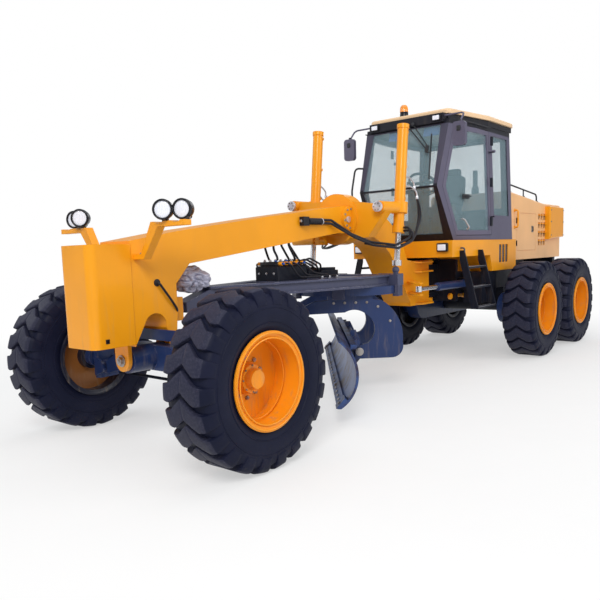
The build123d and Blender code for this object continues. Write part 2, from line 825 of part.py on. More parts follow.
# Circle drive with its gearbox over the pinion, and the valve box in front of it
DRIVE_R = 130
with BuildPart() as circle_drive:
    with BuildSketch(Plane.XY.offset(RAIL_HIGH)):
        with Locations((0, PINION_Y)):
            Circle(DRIVE_R)
        with Locations((0, PINION_Y - DRIVE_R)):
            Rectangle(1.6 * DRIVE_R, 1.4 * DRIVE_R)
    extrude(amount=70)
    with BuildSketch(Plane.XY.offset(RAIL_HIGH + 70)):
        with Locations((0, PINION_Y)):
            Circle(DRIVE_R - 30)
    extrude(amount=30)
    with BuildSketch(Plane.XZ.offset(-(PINION_Y - 1.7 * DRIVE_R))):
        with Locations((0, RAIL_HIGH + 60)):
            Circle(55)
    extrude(amount=160)
    with BuildSketch(Plane.XY.offset(RAIL_HIGH)):
        with Locations((0, (VALVE_FRONT + VALVE_REAR) / 2)):
            Rectangle(300, VALVE_REAR - VALVE_FRONT)
    extrude(amount=VALVE_H)
    chamfer(circle_drive.edges().group_by(Axis.Z)[-1], 14)
save(circle_drive, "circle_drive")

# The pinion, one tooth straight ahead in a space of the circle's teeth
PINION_TEETH = 16
PINION_ROOT = 108
PINION_TIP = 137
PINION_LOW = CIRCLE_LOW + 27
PINION_HIGH = CIRCLE_LOW + CIRCLE_H - GAP
with BuildPart() as pinion:
    with BuildSketch(Plane.XY.offset(PINION_LOW)):
        with Locations((0, PINION_Y)):
            Circle(PINION_ROOT)
            with PolarLocations(0, PINION_TEETH, start_angle=-90):
                outline(
                    [
                        (PINION_ROOT - 8, -15),
                        (PINION_TIP, -7),
                        (PINION_TIP, 7),
                        (PINION_ROOT - 8, 15),
                    ]
                )
    extrude(amount=PINION_HIGH - PINION_LOW)
    with BuildSketch(Plane.XY.offset(PINION_LOW)):
        with Locations((0, PINION_Y)):
            Circle(PINION_SHAFT_R)
    extrude(amount=RAIL_HIGH - 2 - PINION_LOW)
save(pinion, "circle_pinion")

# Circle, its two hanging arms, blade carrier and blade, made with the blade along X
# and then turned about the circle's own axis
TURNED = Location((0, CIRCLE_Y, 0), (0, 0, CIRCLE_TURN))
PIVOT_Y = 90
PIVOT_Z = 470
PIVOT_R = 26
CIRCLE_TEETH = 64
TOOTH_H = CIRCLE_BORE - 495
# Turn of the first tooth, half a step from the space that the pinion's front tooth stands in
FIRST_TOOTH = -90 - CIRCLE_TURN + 180 / CIRCLE_TEETH
with BuildPart() as circle_local:
    with BuildSketch(Plane.XY.offset(CIRCLE_LOW)):
        Circle(CIRCLE_R)
        Circle(CIRCLE_BORE, mode=Mode.SUBTRACT)
        with PolarLocations(0, CIRCLE_TEETH, start_angle=FIRST_TOOTH):
            outline(
                [
                    (CIRCLE_BORE + 4, -15),
                    (CIRCLE_BORE + 4, 15),
                    (CIRCLE_BORE - TOOTH_H, 9),
                    (CIRCLE_BORE - TOOTH_H, -9),
                ]
            )
    extrude(amount=CIRCLE_H)
    for side, sign in SIDES:
        with BuildSketch(Plane.YZ.offset(sign * ARM_X - ARM_T / 2)):
            with BuildLine():
                Polyline(
                    (-400, 1030),
                    (-245, 1042),
                    (-240, CIRCLE_LOW + 20),
                    (240, CIRCLE_LOW + 20),
                    (245, 1042),
                    (340, 1030),
                )
                ThreePointArc((340, 1030), (505, 860), (565, 560))
                ThreePointArc((565, 560), (545, 445), (440, 395))
                Polyline((440, 395), (40, 390), (40, 520), (180, 560))
                ThreePointArc((180, 560), (262, 700), (170, 880))
                ThreePointArc((170, 880), (60, 930), (-60, 905))
                Polyline((-60, 905), (-560, 890), (-560, 950), (-400, 1030))
            make_face()
        extrude(amount=ARM_T)
    with BuildSketch(Plane.YZ.offset(-ARM_X - ARM_T)):
        with Locations((PIVOT_Y, PIVOT_Z)):
            Circle(PIVOT_R + RUN_FIT)
    extrude(amount=2 * (ARM_X + ARM_T), mode=Mode.SUBTRACT)
place(circle_local, "circle", [TURNED])

# The blade's side-shift cylinder: its line as (y, z), and the barrel's two ends along x
SLIDE_ROD = (40, 600)
SLIDE_ROD_R = 18
SLIDE_BARREL_R = 36
SHIFT_BARREL = (-462, 790)
with BuildPart() as carrier_local:
    for side, sign in SIDES:
        inner = ARM_X - ARM_T / 2 - GAP - 40
        with BuildSketch(Plane.YZ.offset(inner if sign > 0 else -inner - 40)):
            outline(
                [
                    (PIVOT_Y + 45, PIVOT_Z - 50),
                    (PIVOT_Y + 45, PIVOT_Z + 60),
                    (60, 700),
                    (RUN_FIT, 700),
                    (RUN_FIT, 330),
                    (60, 330),
                ]
            )
        extrude(amount=40)
        with BuildSketch(Plane.YZ.offset(inner if sign > 0 else -inner - 40 - GAP - ARM_T)):
            with Locations((PIVOT_Y, PIVOT_Z)):
                Circle(PIVOT_R)
        extrude(amount=40 + GAP + ARM_T)
    with BuildSketch(Plane.YZ.offset(-ARM_X + ARM_T / 2 + GAP + 40)):
        with Locations((PIVOT_Y, PIVOT_Z)):
            Circle(38)
    extrude(amount=2 * ARM_X - ARM_T - 2 * GAP - 80)
    with BuildSketch(Plane.YZ.offset(SHIFT_BARREL[0])):
        with Locations(SLIDE_ROD):
            Circle(SLIDE_BARREL_R)
    extrude(amount=SHIFT_BARREL[1] - SHIFT_BARREL[0])
    with BuildSketch(Plane.YZ.offset(SHIFT_BARREL[0] - 1)):
        with Locations(SLIDE_ROD):
            Circle(SLIDE_ROD_R + RUN_FIT)
    extrude(amount=SHIFT_BARREL[1] - SHIFT_BARREL[0] - 30, mode=Mode.SUBTRACT)
place(carrier_local, "blade_carrier", [TURNED])

BLADE_TOP = BLADE_LOW + BLADE_H
END_BIT = 150
LUG_X = -1270
with BuildPart() as blade_local:
    with BuildSketch(Plane.YZ.offset(-BLADE_L / 2)):
        with BuildLine():
            front = ThreePointArc(
                (BLADE_FRONT, BLADE_LOW),
                (BLADE_FRONT + BLADE_DEPTH - BLADE_T, BLADE_LOW + BLADE_H * 0.5),
                (BLADE_FRONT + 10, BLADE_TOP),
            )
            Line((BLADE_FRONT + 10, BLADE_TOP), (BLADE_FRONT + 10 + BLADE_T, BLADE_TOP))
            ThreePointArc(
                (BLADE_FRONT + 10 + BLADE_T, BLADE_TOP),
                (BLADE_FRONT + BLADE_DEPTH, BLADE_LOW + BLADE_H * 0.5),
                (BLADE_FRONT + BLADE_T, BLADE_LOW),
            )
            Line((BLADE_FRONT + BLADE_T, BLADE_LOW), (BLADE_FRONT, BLADE_LOW))
        make_face()
    extrude(amount=BLADE_L)
    for z in (360, 640):
        with BuildSketch(Plane.YZ.offset(-1300)):
            with Locations((-30, z)):
                Rectangle(60, 44)
        extrude(amount=2600)
    # Cutting edge along the foot, end bits at both tips, and the side-shift rod on its lug
    with BuildSketch(Plane.YZ.offset(-BLADE_L / 2)):
        outline(
            [
                (BLADE_FRONT + 8, BLADE_LOW),
                (BLADE_FRONT - 14, BLADE_LOW + 4),
                (BLADE_FRONT + 54, BLADE_LOW + 72),
                (BLADE_FRONT + 74, BLADE_LOW + 52),
            ]
        )
    extrude(amount=BLADE_L)
    for start in (-BLADE_L / 2, BLADE_L / 2 - END_BIT):
        with BuildSketch(Plane.YZ.offset(start)):
            outline(
                [
                    (BLADE_FRONT + 8, BLADE_LOW),
                    (BLADE_FRONT - 22, BLADE_LOW + 6),
                    (BLADE_FRONT + 60, BLADE_LOW + 100),
                    (BLADE_FRONT + 88, BLADE_LOW + 75),
                ]
            )
        extrude(amount=END_BIT)
    with BuildSketch(Plane.YZ.offset(LUG_X)):
        with Locations((SLIDE_ROD[0] - 25, 604)):
            Rectangle(94, 52)
    extrude(amount=40)
    with BuildSketch(Plane.YZ.offset(LUG_X + 20)):
        with Locations(SLIDE_ROD):
            Circle(SLIDE_ROD_R)
    extrude(amount=200 - LUG_X - 20)
place(blade_local, "moldboard", [TURNED])

for side, sign, z in YOKES:
    with BuildPart() as lift_rod:
        top = Plane(
            origin=(sign * LIFT_X, BARREL_Y, z),
            x_dir=(1, 0, 0),
            z_dir=(0, sin(radians(LIFT_TILT)), cos(radians(LIFT_TILT))),
        )
        socket_low = LIFT_Z + LIFT_BALL_R + GAP
        reach = (z - socket_low - 30) / cos(radians(LIFT_TILT))
        with BuildSketch(top.offset(-reach)):
            Circle(ROD_R)
        extrude(amount=reach + 200)
        with BuildSketch(Plane.XY.offset(socket_low)):
            with Locations((sign * LIFT_X, BARREL_Y - reach * sin(radians(LIFT_TILT)))):
                Circle(52)
        extrude(amount=60)
    save(lift_rod, f"lift_rod_{side}")

CASE_W = 190
CASE_IN = REAR_TRACK / 2 - TYRE_W / 2 - 40 - CASE_W
CASE_R = 215
# Rear frame: rails, hinge ears, bulkhead, rear bar with the tow pin hole, axle housing
TOW_R = 25
TOW_Y = FRAME_REAR + 175
with BuildPart() as rear_frame:
    for side, sign in SIDES:
        with BuildSketch(Plane.XZ.offset(-FRAME_REAR)):
            with Locations((sign * (RAIL_IN + RAIL_W / 2), (FRAME_LOW + FRAME_HIGH) / 2)):
                Rectangle(RAIL_W, FRAME_HIGH - FRAME_LOW)
        extrude(amount=FRAME_REAR - FRAME_FRONT)
    with BuildSketch(Plane.XZ.offset(-(FRAME_FRONT + 60))):
        with Locations((0, (HINGE_LOW + HINGE_HIGH) / 2)):
            Rectangle(2 * (RAIL_IN + RAIL_W), HINGE_HIGH - HINGE_LOW)
    extrude(amount=60)
    for low in (HINGE_LOW + EAR_T + GAP, HINGE_HIGH - 2 * EAR_T - GAP):
        with BuildSketch(Plane.XY.offset(low)):
            with Locations((0, HINGE_Y)):
                Circle(130)
            with Locations((0, (HINGE_Y + FRAME_FRONT) / 2)):
                Rectangle(260, FRAME_FRONT - HINGE_Y)
            with Locations((0, HINGE_Y)):
                Circle(HINGE_PIN_R + RUN_FIT, mode=Mode.SUBTRACT)
        extrude(amount=EAR_T)
    with BuildSketch(Plane.XZ.offset(-(FRAME_REAR + 100))):
        with Locations((0, 1040)):
            Rectangle(1100, 380)
    extrude(amount=100)
    for low in (960, 1080):
        with BuildSketch(Plane.XY.offset(low)):
            with Locations((0, TOW_Y)):
                Circle(70)
            with Locations((0, (TOW_Y + FRAME_REAR + 90) / 2)):
                Rectangle(140, TOW_Y - FRAME_REAR - 90)
            with Locations((0, TOW_Y)):
                Circle(TOW_R, mode=Mode.SUBTRACT)
        extrude(amount=35)
    with BuildSketch(Plane.XZ.offset(-(REAR_Y + 130))):
        with Locations((0, 850)):
            Rectangle(2 * (RAIL_IN + RAIL_W), 240)
    extrude(amount=260)
    with BuildSketch(Plane.YZ.offset(10 - CASE_IN)):
        with Locations((REAR_Y, TYRE_R)):
            Circle(125)
    extrude(amount=2 * CASE_IN - 20)
    with BuildSketch(Plane.YZ.offset(-CASE_IN - 60)):
        with Locations((REAR_Y, TYRE_R)):
            Circle(80)
    extrude(amount=2 * CASE_IN + 120)
    for side, sign in SIDES:
        for low in (CYL_Z - LUG_GAP - LUG_T, CYL_Z + LUG_GAP):
            with BuildSketch(Plane.XY.offset(low)):
                with Locations((sign * (RAIL_IN + CYL_X + 50) / 2, CYL_REAR)):
                    Rectangle(CYL_X + 50 - RAIL_IN, 90)
            extrude(amount=LUG_T)
        with BuildSketch(Plane.XY.offset(CYL_Z - LUG_GAP - LUG_T)):
            with Locations((sign * CYL_X, CYL_REAR)):
                Circle(CYL_PIN_R)
        extrude(amount=2 * LUG_GAP + 2 * LUG_T)
    for y in (HOOD_FRONT + 130, HOOD_REAR - 260):
        with BuildSketch(Plane.XZ.offset(-(y + 50))):
            with Locations((0, (FRAME_HIGH + HOOD_LOW) / 2)):
                Rectangle(2 * HOOD_HALF - 20, HOOD_LOW - FRAME_HIGH)
        extrude(amount=100)
save(rear_frame, "rear_frame")

with BuildPart() as tandem:
    with BuildSketch(Plane.YZ.offset(CASE_IN)):
        with Locations((REAR_Y, TYRE_R)):
            SlotCenterToCenter(TANDEM_PITCH, 2 * CASE_R)
    extrude(amount=CASE_W)
    for y in (REAR_Y - TANDEM_PITCH / 2, REAR_Y + TANDEM_PITCH / 2):
        with BuildSketch(Plane.YZ.offset(CASE_IN + CASE_W)):
            with Locations((y, TYRE_R)):
                Circle(130)
        extrude(amount=REAR_TRACK / 2 - HUB_IN - GAP - CASE_IN - CASE_W)
        with BuildSketch(Plane.YZ.offset(CASE_IN + CASE_W)):
            with Locations((y, TYRE_R)):
                Circle(SPINDLE_R)
        extrude(amount=REAR_TRACK / 2 - 10 - CASE_IN - CASE_W)
    with BuildSketch(Plane.YZ.offset(CASE_IN - 1)):
        with Locations((REAR_Y, TYRE_R)):
            Circle(80 + RUN_FIT)
    extrude(amount=66, mode=Mode.SUBTRACT)
save(tandem, "tandem_left")
with BuildPart() as tandem_right:
    mirror(tandem.part, about=Plane.YZ)
save(tandem_right, "tandem_right")

with BuildPart() as engine:
    with BuildSketch(Plane.XY.offset(FRAME_HIGH)):
        with Locations((0, HOOD_FRONT + 850)):
            Rectangle(640, 1150)
    extrude(amount=ENGINE_H)
save(engine, "engine_block")

HOOD_BEND = HOOD_REAR - 770
LOUVRE_FRONT = HOOD_FRONT + 1150
LOUVRE_LOW = 1535
LOUVRE_STEPS = (118, 138)
LOUVRE_SIZE = (88, 96)
DOOR_PANEL = (HOOD_FRONT + 260, HOOD_FRONT + 1070, 1480, 2060)
SEAM = 8
SEAM_DEEP = 6
GRILLE = (1000, 1470, 2110)
GRILLE_BARS = 9
GRILLE_DEEP = 20


def hood_profile(inset):
    outline(
        [
            (HOOD_FRONT + inset, HOOD_LOW - bool(inset)),
            (HOOD_REAR - inset, HOOD_LOW - bool(inset)),
            (HOOD_REAR - inset, HOOD_HIGH_R - inset),
            (HOOD_BEND, HOOD_HIGH_R + 5 - inset),
            (HOOD_FRONT + inset, HOOD_HIGH_F - inset),
        ]
    )


with BuildPart() as hood:
    with BuildSketch(Plane.YZ):
        hood_profile(0)
    extrude(amount=HOOD_HALF, both=True)
    side_edges = [e for e in hood.edges() if abs(e.center().X) > HOOD_HALF - 1]
    fillet([e for e in side_edges if e.center().Z > HOOD_HIGH_R - 1], 45)
    with BuildSketch(Plane.YZ):
        hood_profile(HOOD_WALL)
    extrude(amount=HOOD_HALF - HOOD_WALL, both=True, mode=Mode.SUBTRACT)
    with BuildSketch(Plane.XY.offset(HOOD_HIGH_R - 200)):
        with Locations((EXHAUST_X, EXHAUST_Y)):
            Circle(EXHAUST_R + RUN_FIT)
    extrude(amount=400, mode=Mode.SUBTRACT)
    # Louvres through both sides, three across and four up
    with BuildSketch(Plane.YZ):
        for column in range(3):
            for row in range(4):
                with Locations(
                    (
                        LOUVRE_FRONT + (column + 0.5) * LOUVRE_STEPS[0],
                        LOUVRE_LOW + (row + 0.5) * LOUVRE_STEPS[1],
                    )
                ):
                    Rectangle(*LOUVRE_SIZE)
    extrude(amount=HOOD_HALF + 1, both=True, mode=Mode.SUBTRACT)
    # Seam of the door in each side, and the rear grille's recess with its bars left standing
    door_y = (DOOR_PANEL[0] + DOOR_PANEL[1]) / 2
    door_z = (DOOR_PANEL[2] + DOOR_PANEL[3]) / 2
    door_l = DOOR_PANEL[1] - DOOR_PANEL[0]
    door_h = DOOR_PANEL[3] - DOOR_PANEL[2]
    for side, sign in SIDES:
        with BuildSketch(Plane.YZ.offset(sign * (HOOD_HALF - SEAM_DEEP))):
            with Locations((door_y, door_z)):
                RectangleRounded(door_l, door_h, 30)
                RectangleRounded(door_l - 2 * SEAM, door_h - 2 * SEAM, 24, mode=Mode.SUBTRACT)
        extrude(amount=sign * 2 * SEAM_DEEP, mode=Mode.SUBTRACT)
    with BuildSketch(Plane.XZ.offset(-HOOD_REAR)):
        with Locations((0, (GRILLE[1] + GRILLE[2]) / 2)):
            Rectangle(GRILLE[0], GRILLE[2] - GRILLE[1])
            with GridLocations(0, (GRILLE[2] - GRILLE[1]) / GRILLE_BARS, 1, GRILLE_BARS - 1):
                Rectangle(GRILLE[0], 18, mode=Mode.SUBTRACT)
    extrude(amount=GRILLE_DEEP, mode=Mode.SUBTRACT)
save(hood, "hood")

SHROUD = (HOOD_REAR - 740, HOOD_REAR - 60)
SHROUD_T = 90
with BuildPart() as shroud:
    for side, sign in SIDES:
        with BuildSketch(Plane.YZ.offset(sign * HOOD_HALF)):
            outline(
                [
                    (SHROUD[0], 1650),
                    (SHROUD[1], 1690),
                    (SHROUD[1], HOOD_HIGH_R - 50),
                    (SHROUD[0], HOOD_HIGH_R - 45),
                ]
            )
        extrude(amount=sign * SHROUD_T)
    fillet([e for e in shroud.edges() if abs(e.center().X) > HOOD_HALF + SHROUD_T - 1], 25)
save(shroud, "rear_shroud")

EXHAUST_H = 750
with BuildPart() as exhaust:
    with BuildSketch(Plane.XZ):
        outline(
            [
                (0, 0),
                (EXHAUST_R, 0),
                (EXHAUST_R, EXHAUST_H - 280),
                (EXHAUST_R - 22, EXHAUST_H - 250),
                (EXHAUST_R - 22, EXHAUST_H),
                (EXHAUST_R - 28, EXHAUST_H),
                (EXHAUST_R - 28, EXHAUST_H - 120),
                (0, EXHAUST_H - 120),
            ]
        )
    revolve(axis=Axis.Z)
place(exhaust, "exhaust", [(EXHAUST_X, EXHAUST_Y, FRAME_HIGH + ENGINE_H)])

# Base under the cab, steps and tanks
VENT_Y = FRONT_Y + 5560
VENT_Z = 1465
with BuildPart() as cab_base:
    with BuildSketch(Plane.YZ):
        outline(
            [
                (BASE_FRONT, BASE_LOW),
                (BASE_FRONT + 1130, BASE_LOW),
                (BASE_FRONT + 1200, FRAME_HIGH),
                (BASE_REAR, FRAME_HIGH),
                (BASE_REAR, CAB_LOW),
                (BASE_FRONT, CAB_LOW),
            ]
        )
    extrude(amount=BASE_HALF, both=True)
    for side, sign in SIDES:
        with BuildSketch(Plane.YZ.offset(sign * (BASE_HALF - 20))):
            with Locations((VENT_Y, VENT_Z)):
                with GridLocations(110, 0, 3, 1):
                    Rectangle(92, 250)
        extrude(amount=sign * 30, mode=Mode.SUBTRACT)
save(cab_base, "cab_base")

STEP_RAILS = (FRONT_Y + 4180, FRONT_Y + 4720)
STEP_LOW = 795
with BuildPart() as steps:
    for side, sign in SIDES:
        for y in STEP_RAILS:
            with BuildSketch(Plane.XZ.offset(-(y + 12))):
                outline(
                    [
                        (sign * BASE_HALF, 1530),
                        (sign * (BASE_HALF + 60), 1530),
                        (sign * 990, STEP_LOW),
                        (sign * 900, STEP_LOW),
                        (sign * BASE_HALF, 1400),
                    ]
                )
            extrude(amount=24)
        for z in (1300, 1050, STEP_LOW):
            middle = 945 + (990 - 800) * (STEP_LOW - z) / 735
            with BuildSketch(Plane.XY.offset(z)):
                with Locations((sign * middle, (STEP_RAILS[0] + STEP_RAILS[1]) / 2)):
                    Rectangle(90, STEP_RAILS[1] - STEP_RAILS[0])
            extrude(amount=22)
save(steps, "steps")

TANK_Y = BASE_FRONT + 1160
TANK_LOW = 810
with BuildPart() as tanks:
    for side, sign in SIDES:
        with BuildSketch(Plane.XY.offset(TANK_LOW)):
            with Locations((sign * 580, TANK_Y)):
                Rectangle(260, 480)
        extrude(amount=FRAME_HIGH - TANK_LOW)
save(tanks, "tanks")

# Cab: planes meet as in the real one, a shell with a kinked front and tapering sides
CAB_FRONT_LOW = FRONT_Y + 4240
CAB_KINK = FRONT_Y + 3900
CAB_KINK_Z = 2330
CAB_FRONT_HIGH = FRONT_Y + 4170
CAB_HALF_LOW = 745
CAB_HALF_HIGH = 690
CAB_B_Y = FRONT_Y + 5150


def cab_block(inset):
    with BuildPart() as block:
        with BuildSketch(Plane.YZ):
            outline(
                [
                    (CAB_FRONT_LOW, CAB_LOW),
                    (CAB_KINK, CAB_KINK_Z),
                    (CAB_FRONT_HIGH, CAB_HIGH),
                    (CAB_REAR, CAB_HIGH),
                    (CAB_REAR, CAB_LOW),
                ]
            )
            if inset:
                offset(amount=-inset, kind=Kind.INTERSECTION)
        extrude(amount=1000, both=True)
        with BuildSketch(Plane.XY):
            outline(
                [
                    (-570, CAB_KINK - 10),
                    (570, CAB_KINK - 10),
                    (750, CAB_B_Y),
                    (750, CAB_REAR),
                    (-750, CAB_REAR),
                    (-750, CAB_B_Y),
                ]
            )
            if inset:
                offset(amount=-inset, kind=Kind.INTERSECTION)
        extrude(amount=4000, mode=Mode.INTERSECT)
        with BuildSketch(Plane.XZ.offset(-(CAB_REAR + 10))):
            outline(
                [
                    (-CAB_HALF_LOW, CAB_LOW),
                    (CAB_HALF_LOW, CAB_LOW),
                    (CAB_HALF_HIGH, CAB_HIGH),
                    (-CAB_HALF_HIGH, CAB_HIGH),
                ]
            )
            if inset:
                offset(amount=-inset, kind=Kind.INTERSECTION)
        extrude(amount=3000, mode=Mode.INTERSECT)
    return block


def roof_plan(inset):
    outline(
        [
            (-585, ROOF_FRONT),
            (585, ROOF_FRONT),
            (735, CAB_B_Y - 50),
            (735, ROOF_REAR),
            (-735, ROOF_REAR),
            (-735, CAB_B_Y - 50),
        ]
    )
    if inset:
        offset(amount=-inset, kind=Kind.INTERSECTION)


def cab_shell():
    with BuildPart() as shell:
        add(cab_block(0).part)
        add(cab_block(CAB_WALL).part, mode=Mode.SUBTRACT)
    return shell


DOOR = [
    (CAB_KINK + 400, CAB_LOW + 60),
    (CAB_KINK + 110, CAB_KINK_Z),
    (CAB_FRONT_HIGH + 90, CAB_HIGH - 60),
    (CAB_B_Y - 20, CAB_HIGH - 60),
    (CAB_B_Y - 20, CAB_LOW + 60),
]
WINDOW_REAR = [
    (CAB_B_Y + 90, CAB_LOW + 330),
    (CAB_B_Y + 90, CAB_HIGH - 110),
    (CAB_REAR - 110, CAB_HIGH - 110),
    (CAB_REAR - 110, CAB_LOW + 330),
]
DOOR_FRAME = 60
KINK_BAR = 24
ROOF_LOW = 3238
ROOF_HIGH = 3302
ROOF_FRONT = FRONT_Y + 4200
ROOF_REAR = CAB_REAR + 60
HEADER_IN = 30
FASCIA_Y = FRONT_Y + 4125
FASCIA_LOW = 3130
FASCIA_HALF = 545
# Door hinges: the pins' line, and the height and inner x of each lug
DOOR_X = 775
DOOR_Y = CAB_B_Y - 15
DOOR_PIN_R = 9
DOOR_HINGES = ((1960, 712), (2820, 682))
SEAL = 6
shell = cab_shell()
with BuildPart() as cab_frame:
    add(shell.part)
    with BuildSketch(Plane.YZ):
        outline(DOOR)
    extrude(amount=1000, both=True, mode=Mode.SUBTRACT)
    with BuildSketch(Plane.YZ):
        outline(WINDOW_REAR)
    extrude(amount=1000, both=True, mode=Mode.SUBTRACT)
    with BuildSketch(Plane.XZ.offset(-(CAB_KINK + 450))):
        outline(
            [
                (-520, CAB_KINK_Z + KINK_BAR / 2),
                (520, CAB_KINK_Z + KINK_BAR / 2),
                (500, CAB_HIGH - 70),
                (-500, CAB_HIGH - 70),
            ]
        )
        outline(
            [
                (-500, CAB_LOW + 90),
                (500, CAB_LOW + 90),
                (520, CAB_KINK_Z - KINK_BAR / 2),
                (-520, CAB_KINK_Z - KINK_BAR / 2),
            ]
        )
    extrude(amount=1500, mode=Mode.SUBTRACT)
    # Header over the walls and, in front, down over the top of the glass
    with BuildSketch(Plane.XY.offset(CAB_HIGH)):
        roof_plan(HEADER_IN)
    extrude(amount=ROOF_LOW - CAB_HIGH)
    with BuildSketch(Plane.YZ):
        outline(
            [
                (FASCIA_Y, FASCIA_LOW),
                (FASCIA_Y + 45, FASCIA_LOW),
                (FASCIA_Y + 95, CAB_HIGH - 12),
                (FASCIA_Y + 95, ROOF_LOW),
                (FASCIA_Y, ROOF_LOW),
            ]
        )
    extrude(amount=FASCIA_HALF, both=True)
    with BuildSketch(Plane.XZ.offset(-(CAB_REAR + 50))):
        outline(
            [
                (-600, CAB_LOW + 450),
                (600, CAB_LOW + 450),
                (570, CAB_HIGH - 110),
                (-570, CAB_HIGH - 110),
            ]
        )
    extrude(amount=150, mode=Mode.SUBTRACT)
    for side, sign in SIDES:
        for z, root in DOOR_HINGES:
            with BuildSketch(Plane.XY.offset(z)):
                outline(
                    [
                        (sign * root, CAB_B_Y - 8),
                        (sign * (DOOR_X + 14), CAB_B_Y - 15),
                        (sign * (DOOR_X + 10), CAB_B_Y + 5),
                        (sign * root, CAB_B_Y + 50),
                    ]
                )
                with Locations((sign * DOOR_X, DOOR_Y)):
                    Circle(18)
            extrude(amount=14)
            with BuildSketch(Plane.XY.offset(z)):
                with Locations((sign * DOOR_X, DOOR_Y)):
                    Circle(DOOR_PIN_R)
            extrude(amount=34)
save(cab_frame, "cab_frame")

with BuildPart() as cab_glass:
    add(cab_block(12).part)
    add(cab_block(12 + 8).part, mode=Mode.SUBTRACT)
    add(cab_frame.part, mode=Mode.SUBTRACT)
    with BuildSketch(Plane.YZ):
        outline(DOOR)
    extrude(amount=1000, both=True, mode=Mode.SUBTRACT)
save(cab_glass, "cab_glass")

for side, sign in SIDES:
    with BuildPart() as door:
        add(shell.part)
        with BuildSketch(Plane.YZ):
            outline(DOOR)
            offset(amount=-SEAL, kind=Kind.INTERSECTION)
        extrude(amount=sign * 1000, mode=Mode.INTERSECT)
        with BuildSketch(Plane.YZ):
            outline(DOOR)
            offset(amount=-SEAL - DOOR_FRAME, kind=Kind.INTERSECTION)
        extrude(amount=sign * 1000, mode=Mode.SUBTRACT)
        for z, root in DOOR_HINGES:
            with BuildSketch(Plane.XY.offset(z + 14 + RUN_FIT)):
                outline(
                    [
                        (sign * root, CAB_B_Y - 70),
                        (sign * root, CAB_B_Y - 34),
                        (sign * (DOOR_X - 35), CAB_B_Y - 28),
                        (sign * (DOOR_X - 8), CAB_B_Y),
                        (sign * (DOOR_X + 12), CAB_B_Y - 25),
                    ]
                )
                with Locations((sign * DOOR_X, DOOR_Y)):
                    Circle(18)
                with Locations((sign * DOOR_X, DOOR_Y)):
                    Circle(DOOR_PIN_R + RUN_FIT, mode=Mode.SUBTRACT)
            extrude(amount=14)
    save(door, f"door_{side}")
    with BuildPart() as door_glass:
        add(cab_block(12).part)
        add(cab_block(12 + 8).part, mode=Mode.SUBTRACT)
        with BuildSketch(Plane.YZ):
            outline(DOOR)
            offset(amount=-SEAL - DOOR_FRAME - 0.3, kind=Kind.INTERSECTION)
        extrude(amount=sign * 1000, mode=Mode.INTERSECT)
    save(door_glass, f"door_glass_{side}")

with BuildPart() as roof:
    with BuildSketch(Plane.XY.offset(ROOF_LOW)):
        roof_plan(0)
    extrude(amount=ROOF_HIGH - ROOF_LOW)
    fillet(roof.edges().filter_by(Axis.Z), 70)
    fillet(roof.edges().group_by(Axis.Z)[-1], 30)
save(roof, "cab_roof")

CAB_FLOOR = CAB_LOW + CAB_WALL
SEAT_Y = CAB_B_Y - 20
CONSOLE_Y = SEAT_Y - 680
with BuildPart() as seat:
    with BuildSketch(Plane.YZ):
        outline(
            [
                (SEAT_Y - 230, CAB_FLOOR + 300),
                (SEAT_Y + 250, CAB_FLOOR + 300),
                (SEAT_Y + 370, CAB_FLOOR + 1000),
                (SEAT_Y + 270, CAB_FLOOR + 1000),
                (SEAT_Y + 170, CAB_FLOOR + 430),
                (SEAT_Y - 230, CAB_FLOOR + 430),
            ]
        )
    extrude(amount=240, both=True)
    with BuildSketch(Plane.XY.offset(CAB_FLOOR)):
        with Locations((0, SEAT_Y)):
            Rectangle(300, 340)
    extrude(amount=300)
save(seat, "seat")

with BuildPart() as console:
    with BuildSketch(Plane.XY.offset(CAB_FLOOR)):
        with Locations((0, CONSOLE_Y)):
            Rectangle(220, 160)
    extrude(amount=650)
    tilt = Plane(
        origin=(0, CONSOLE_Y + 50, CAB_FLOOR + 640),
        x_dir=(1, 0, 0),
        z_dir=(0, 0.6, 0.8),
    )
    with BuildSketch(tilt):
        Circle(30)
    extrude(amount=140)
    with BuildSketch(tilt.offset(120)):
        Circle(200)
        Circle(175, mode=Mode.SUBTRACT)
        Rectangle(370, 30)
    extrude(amount=25)
save(console, "steering_console")

MIRROR_X = 810
MIRROR_Y = FRONT_Y + 4060
MIRROR_Z = 2935
ARM_TUBE_R = 11
mirror_arm = tube(
    [
        (FASCIA_HALF, FASCIA_Y + 40, 3205),
        (MIRROR_X, FASCIA_Y + 40, 3205),
        (MIRROR_X, MIRROR_Y - 28, MIRROR_Z + 130),
    ],
    ARM_TUBE_R,
    50,
)
with BuildPart() as mirrors:
    for side, sign in SIDES:
        with BuildSketch(Plane.XZ.offset(-MIRROR_Y)):
            with Locations((sign * MIRROR_X, MIRROR_Z)):
                RectangleRounded(165, 285, 40)
        extrude(amount=55)
        with BuildSketch(Plane.XZ.offset(-(MIRROR_Y - 55))):
            with Locations((sign * MIRROR_X, MIRROR_Z)):
                RectangleRounded(145, 265, 32)
        extrude(amount=6, mode=Mode.SUBTRACT)
    add([mirror_arm, mirror(mirror_arm, about=Plane.YZ)])
save(mirrors, "mirrors")

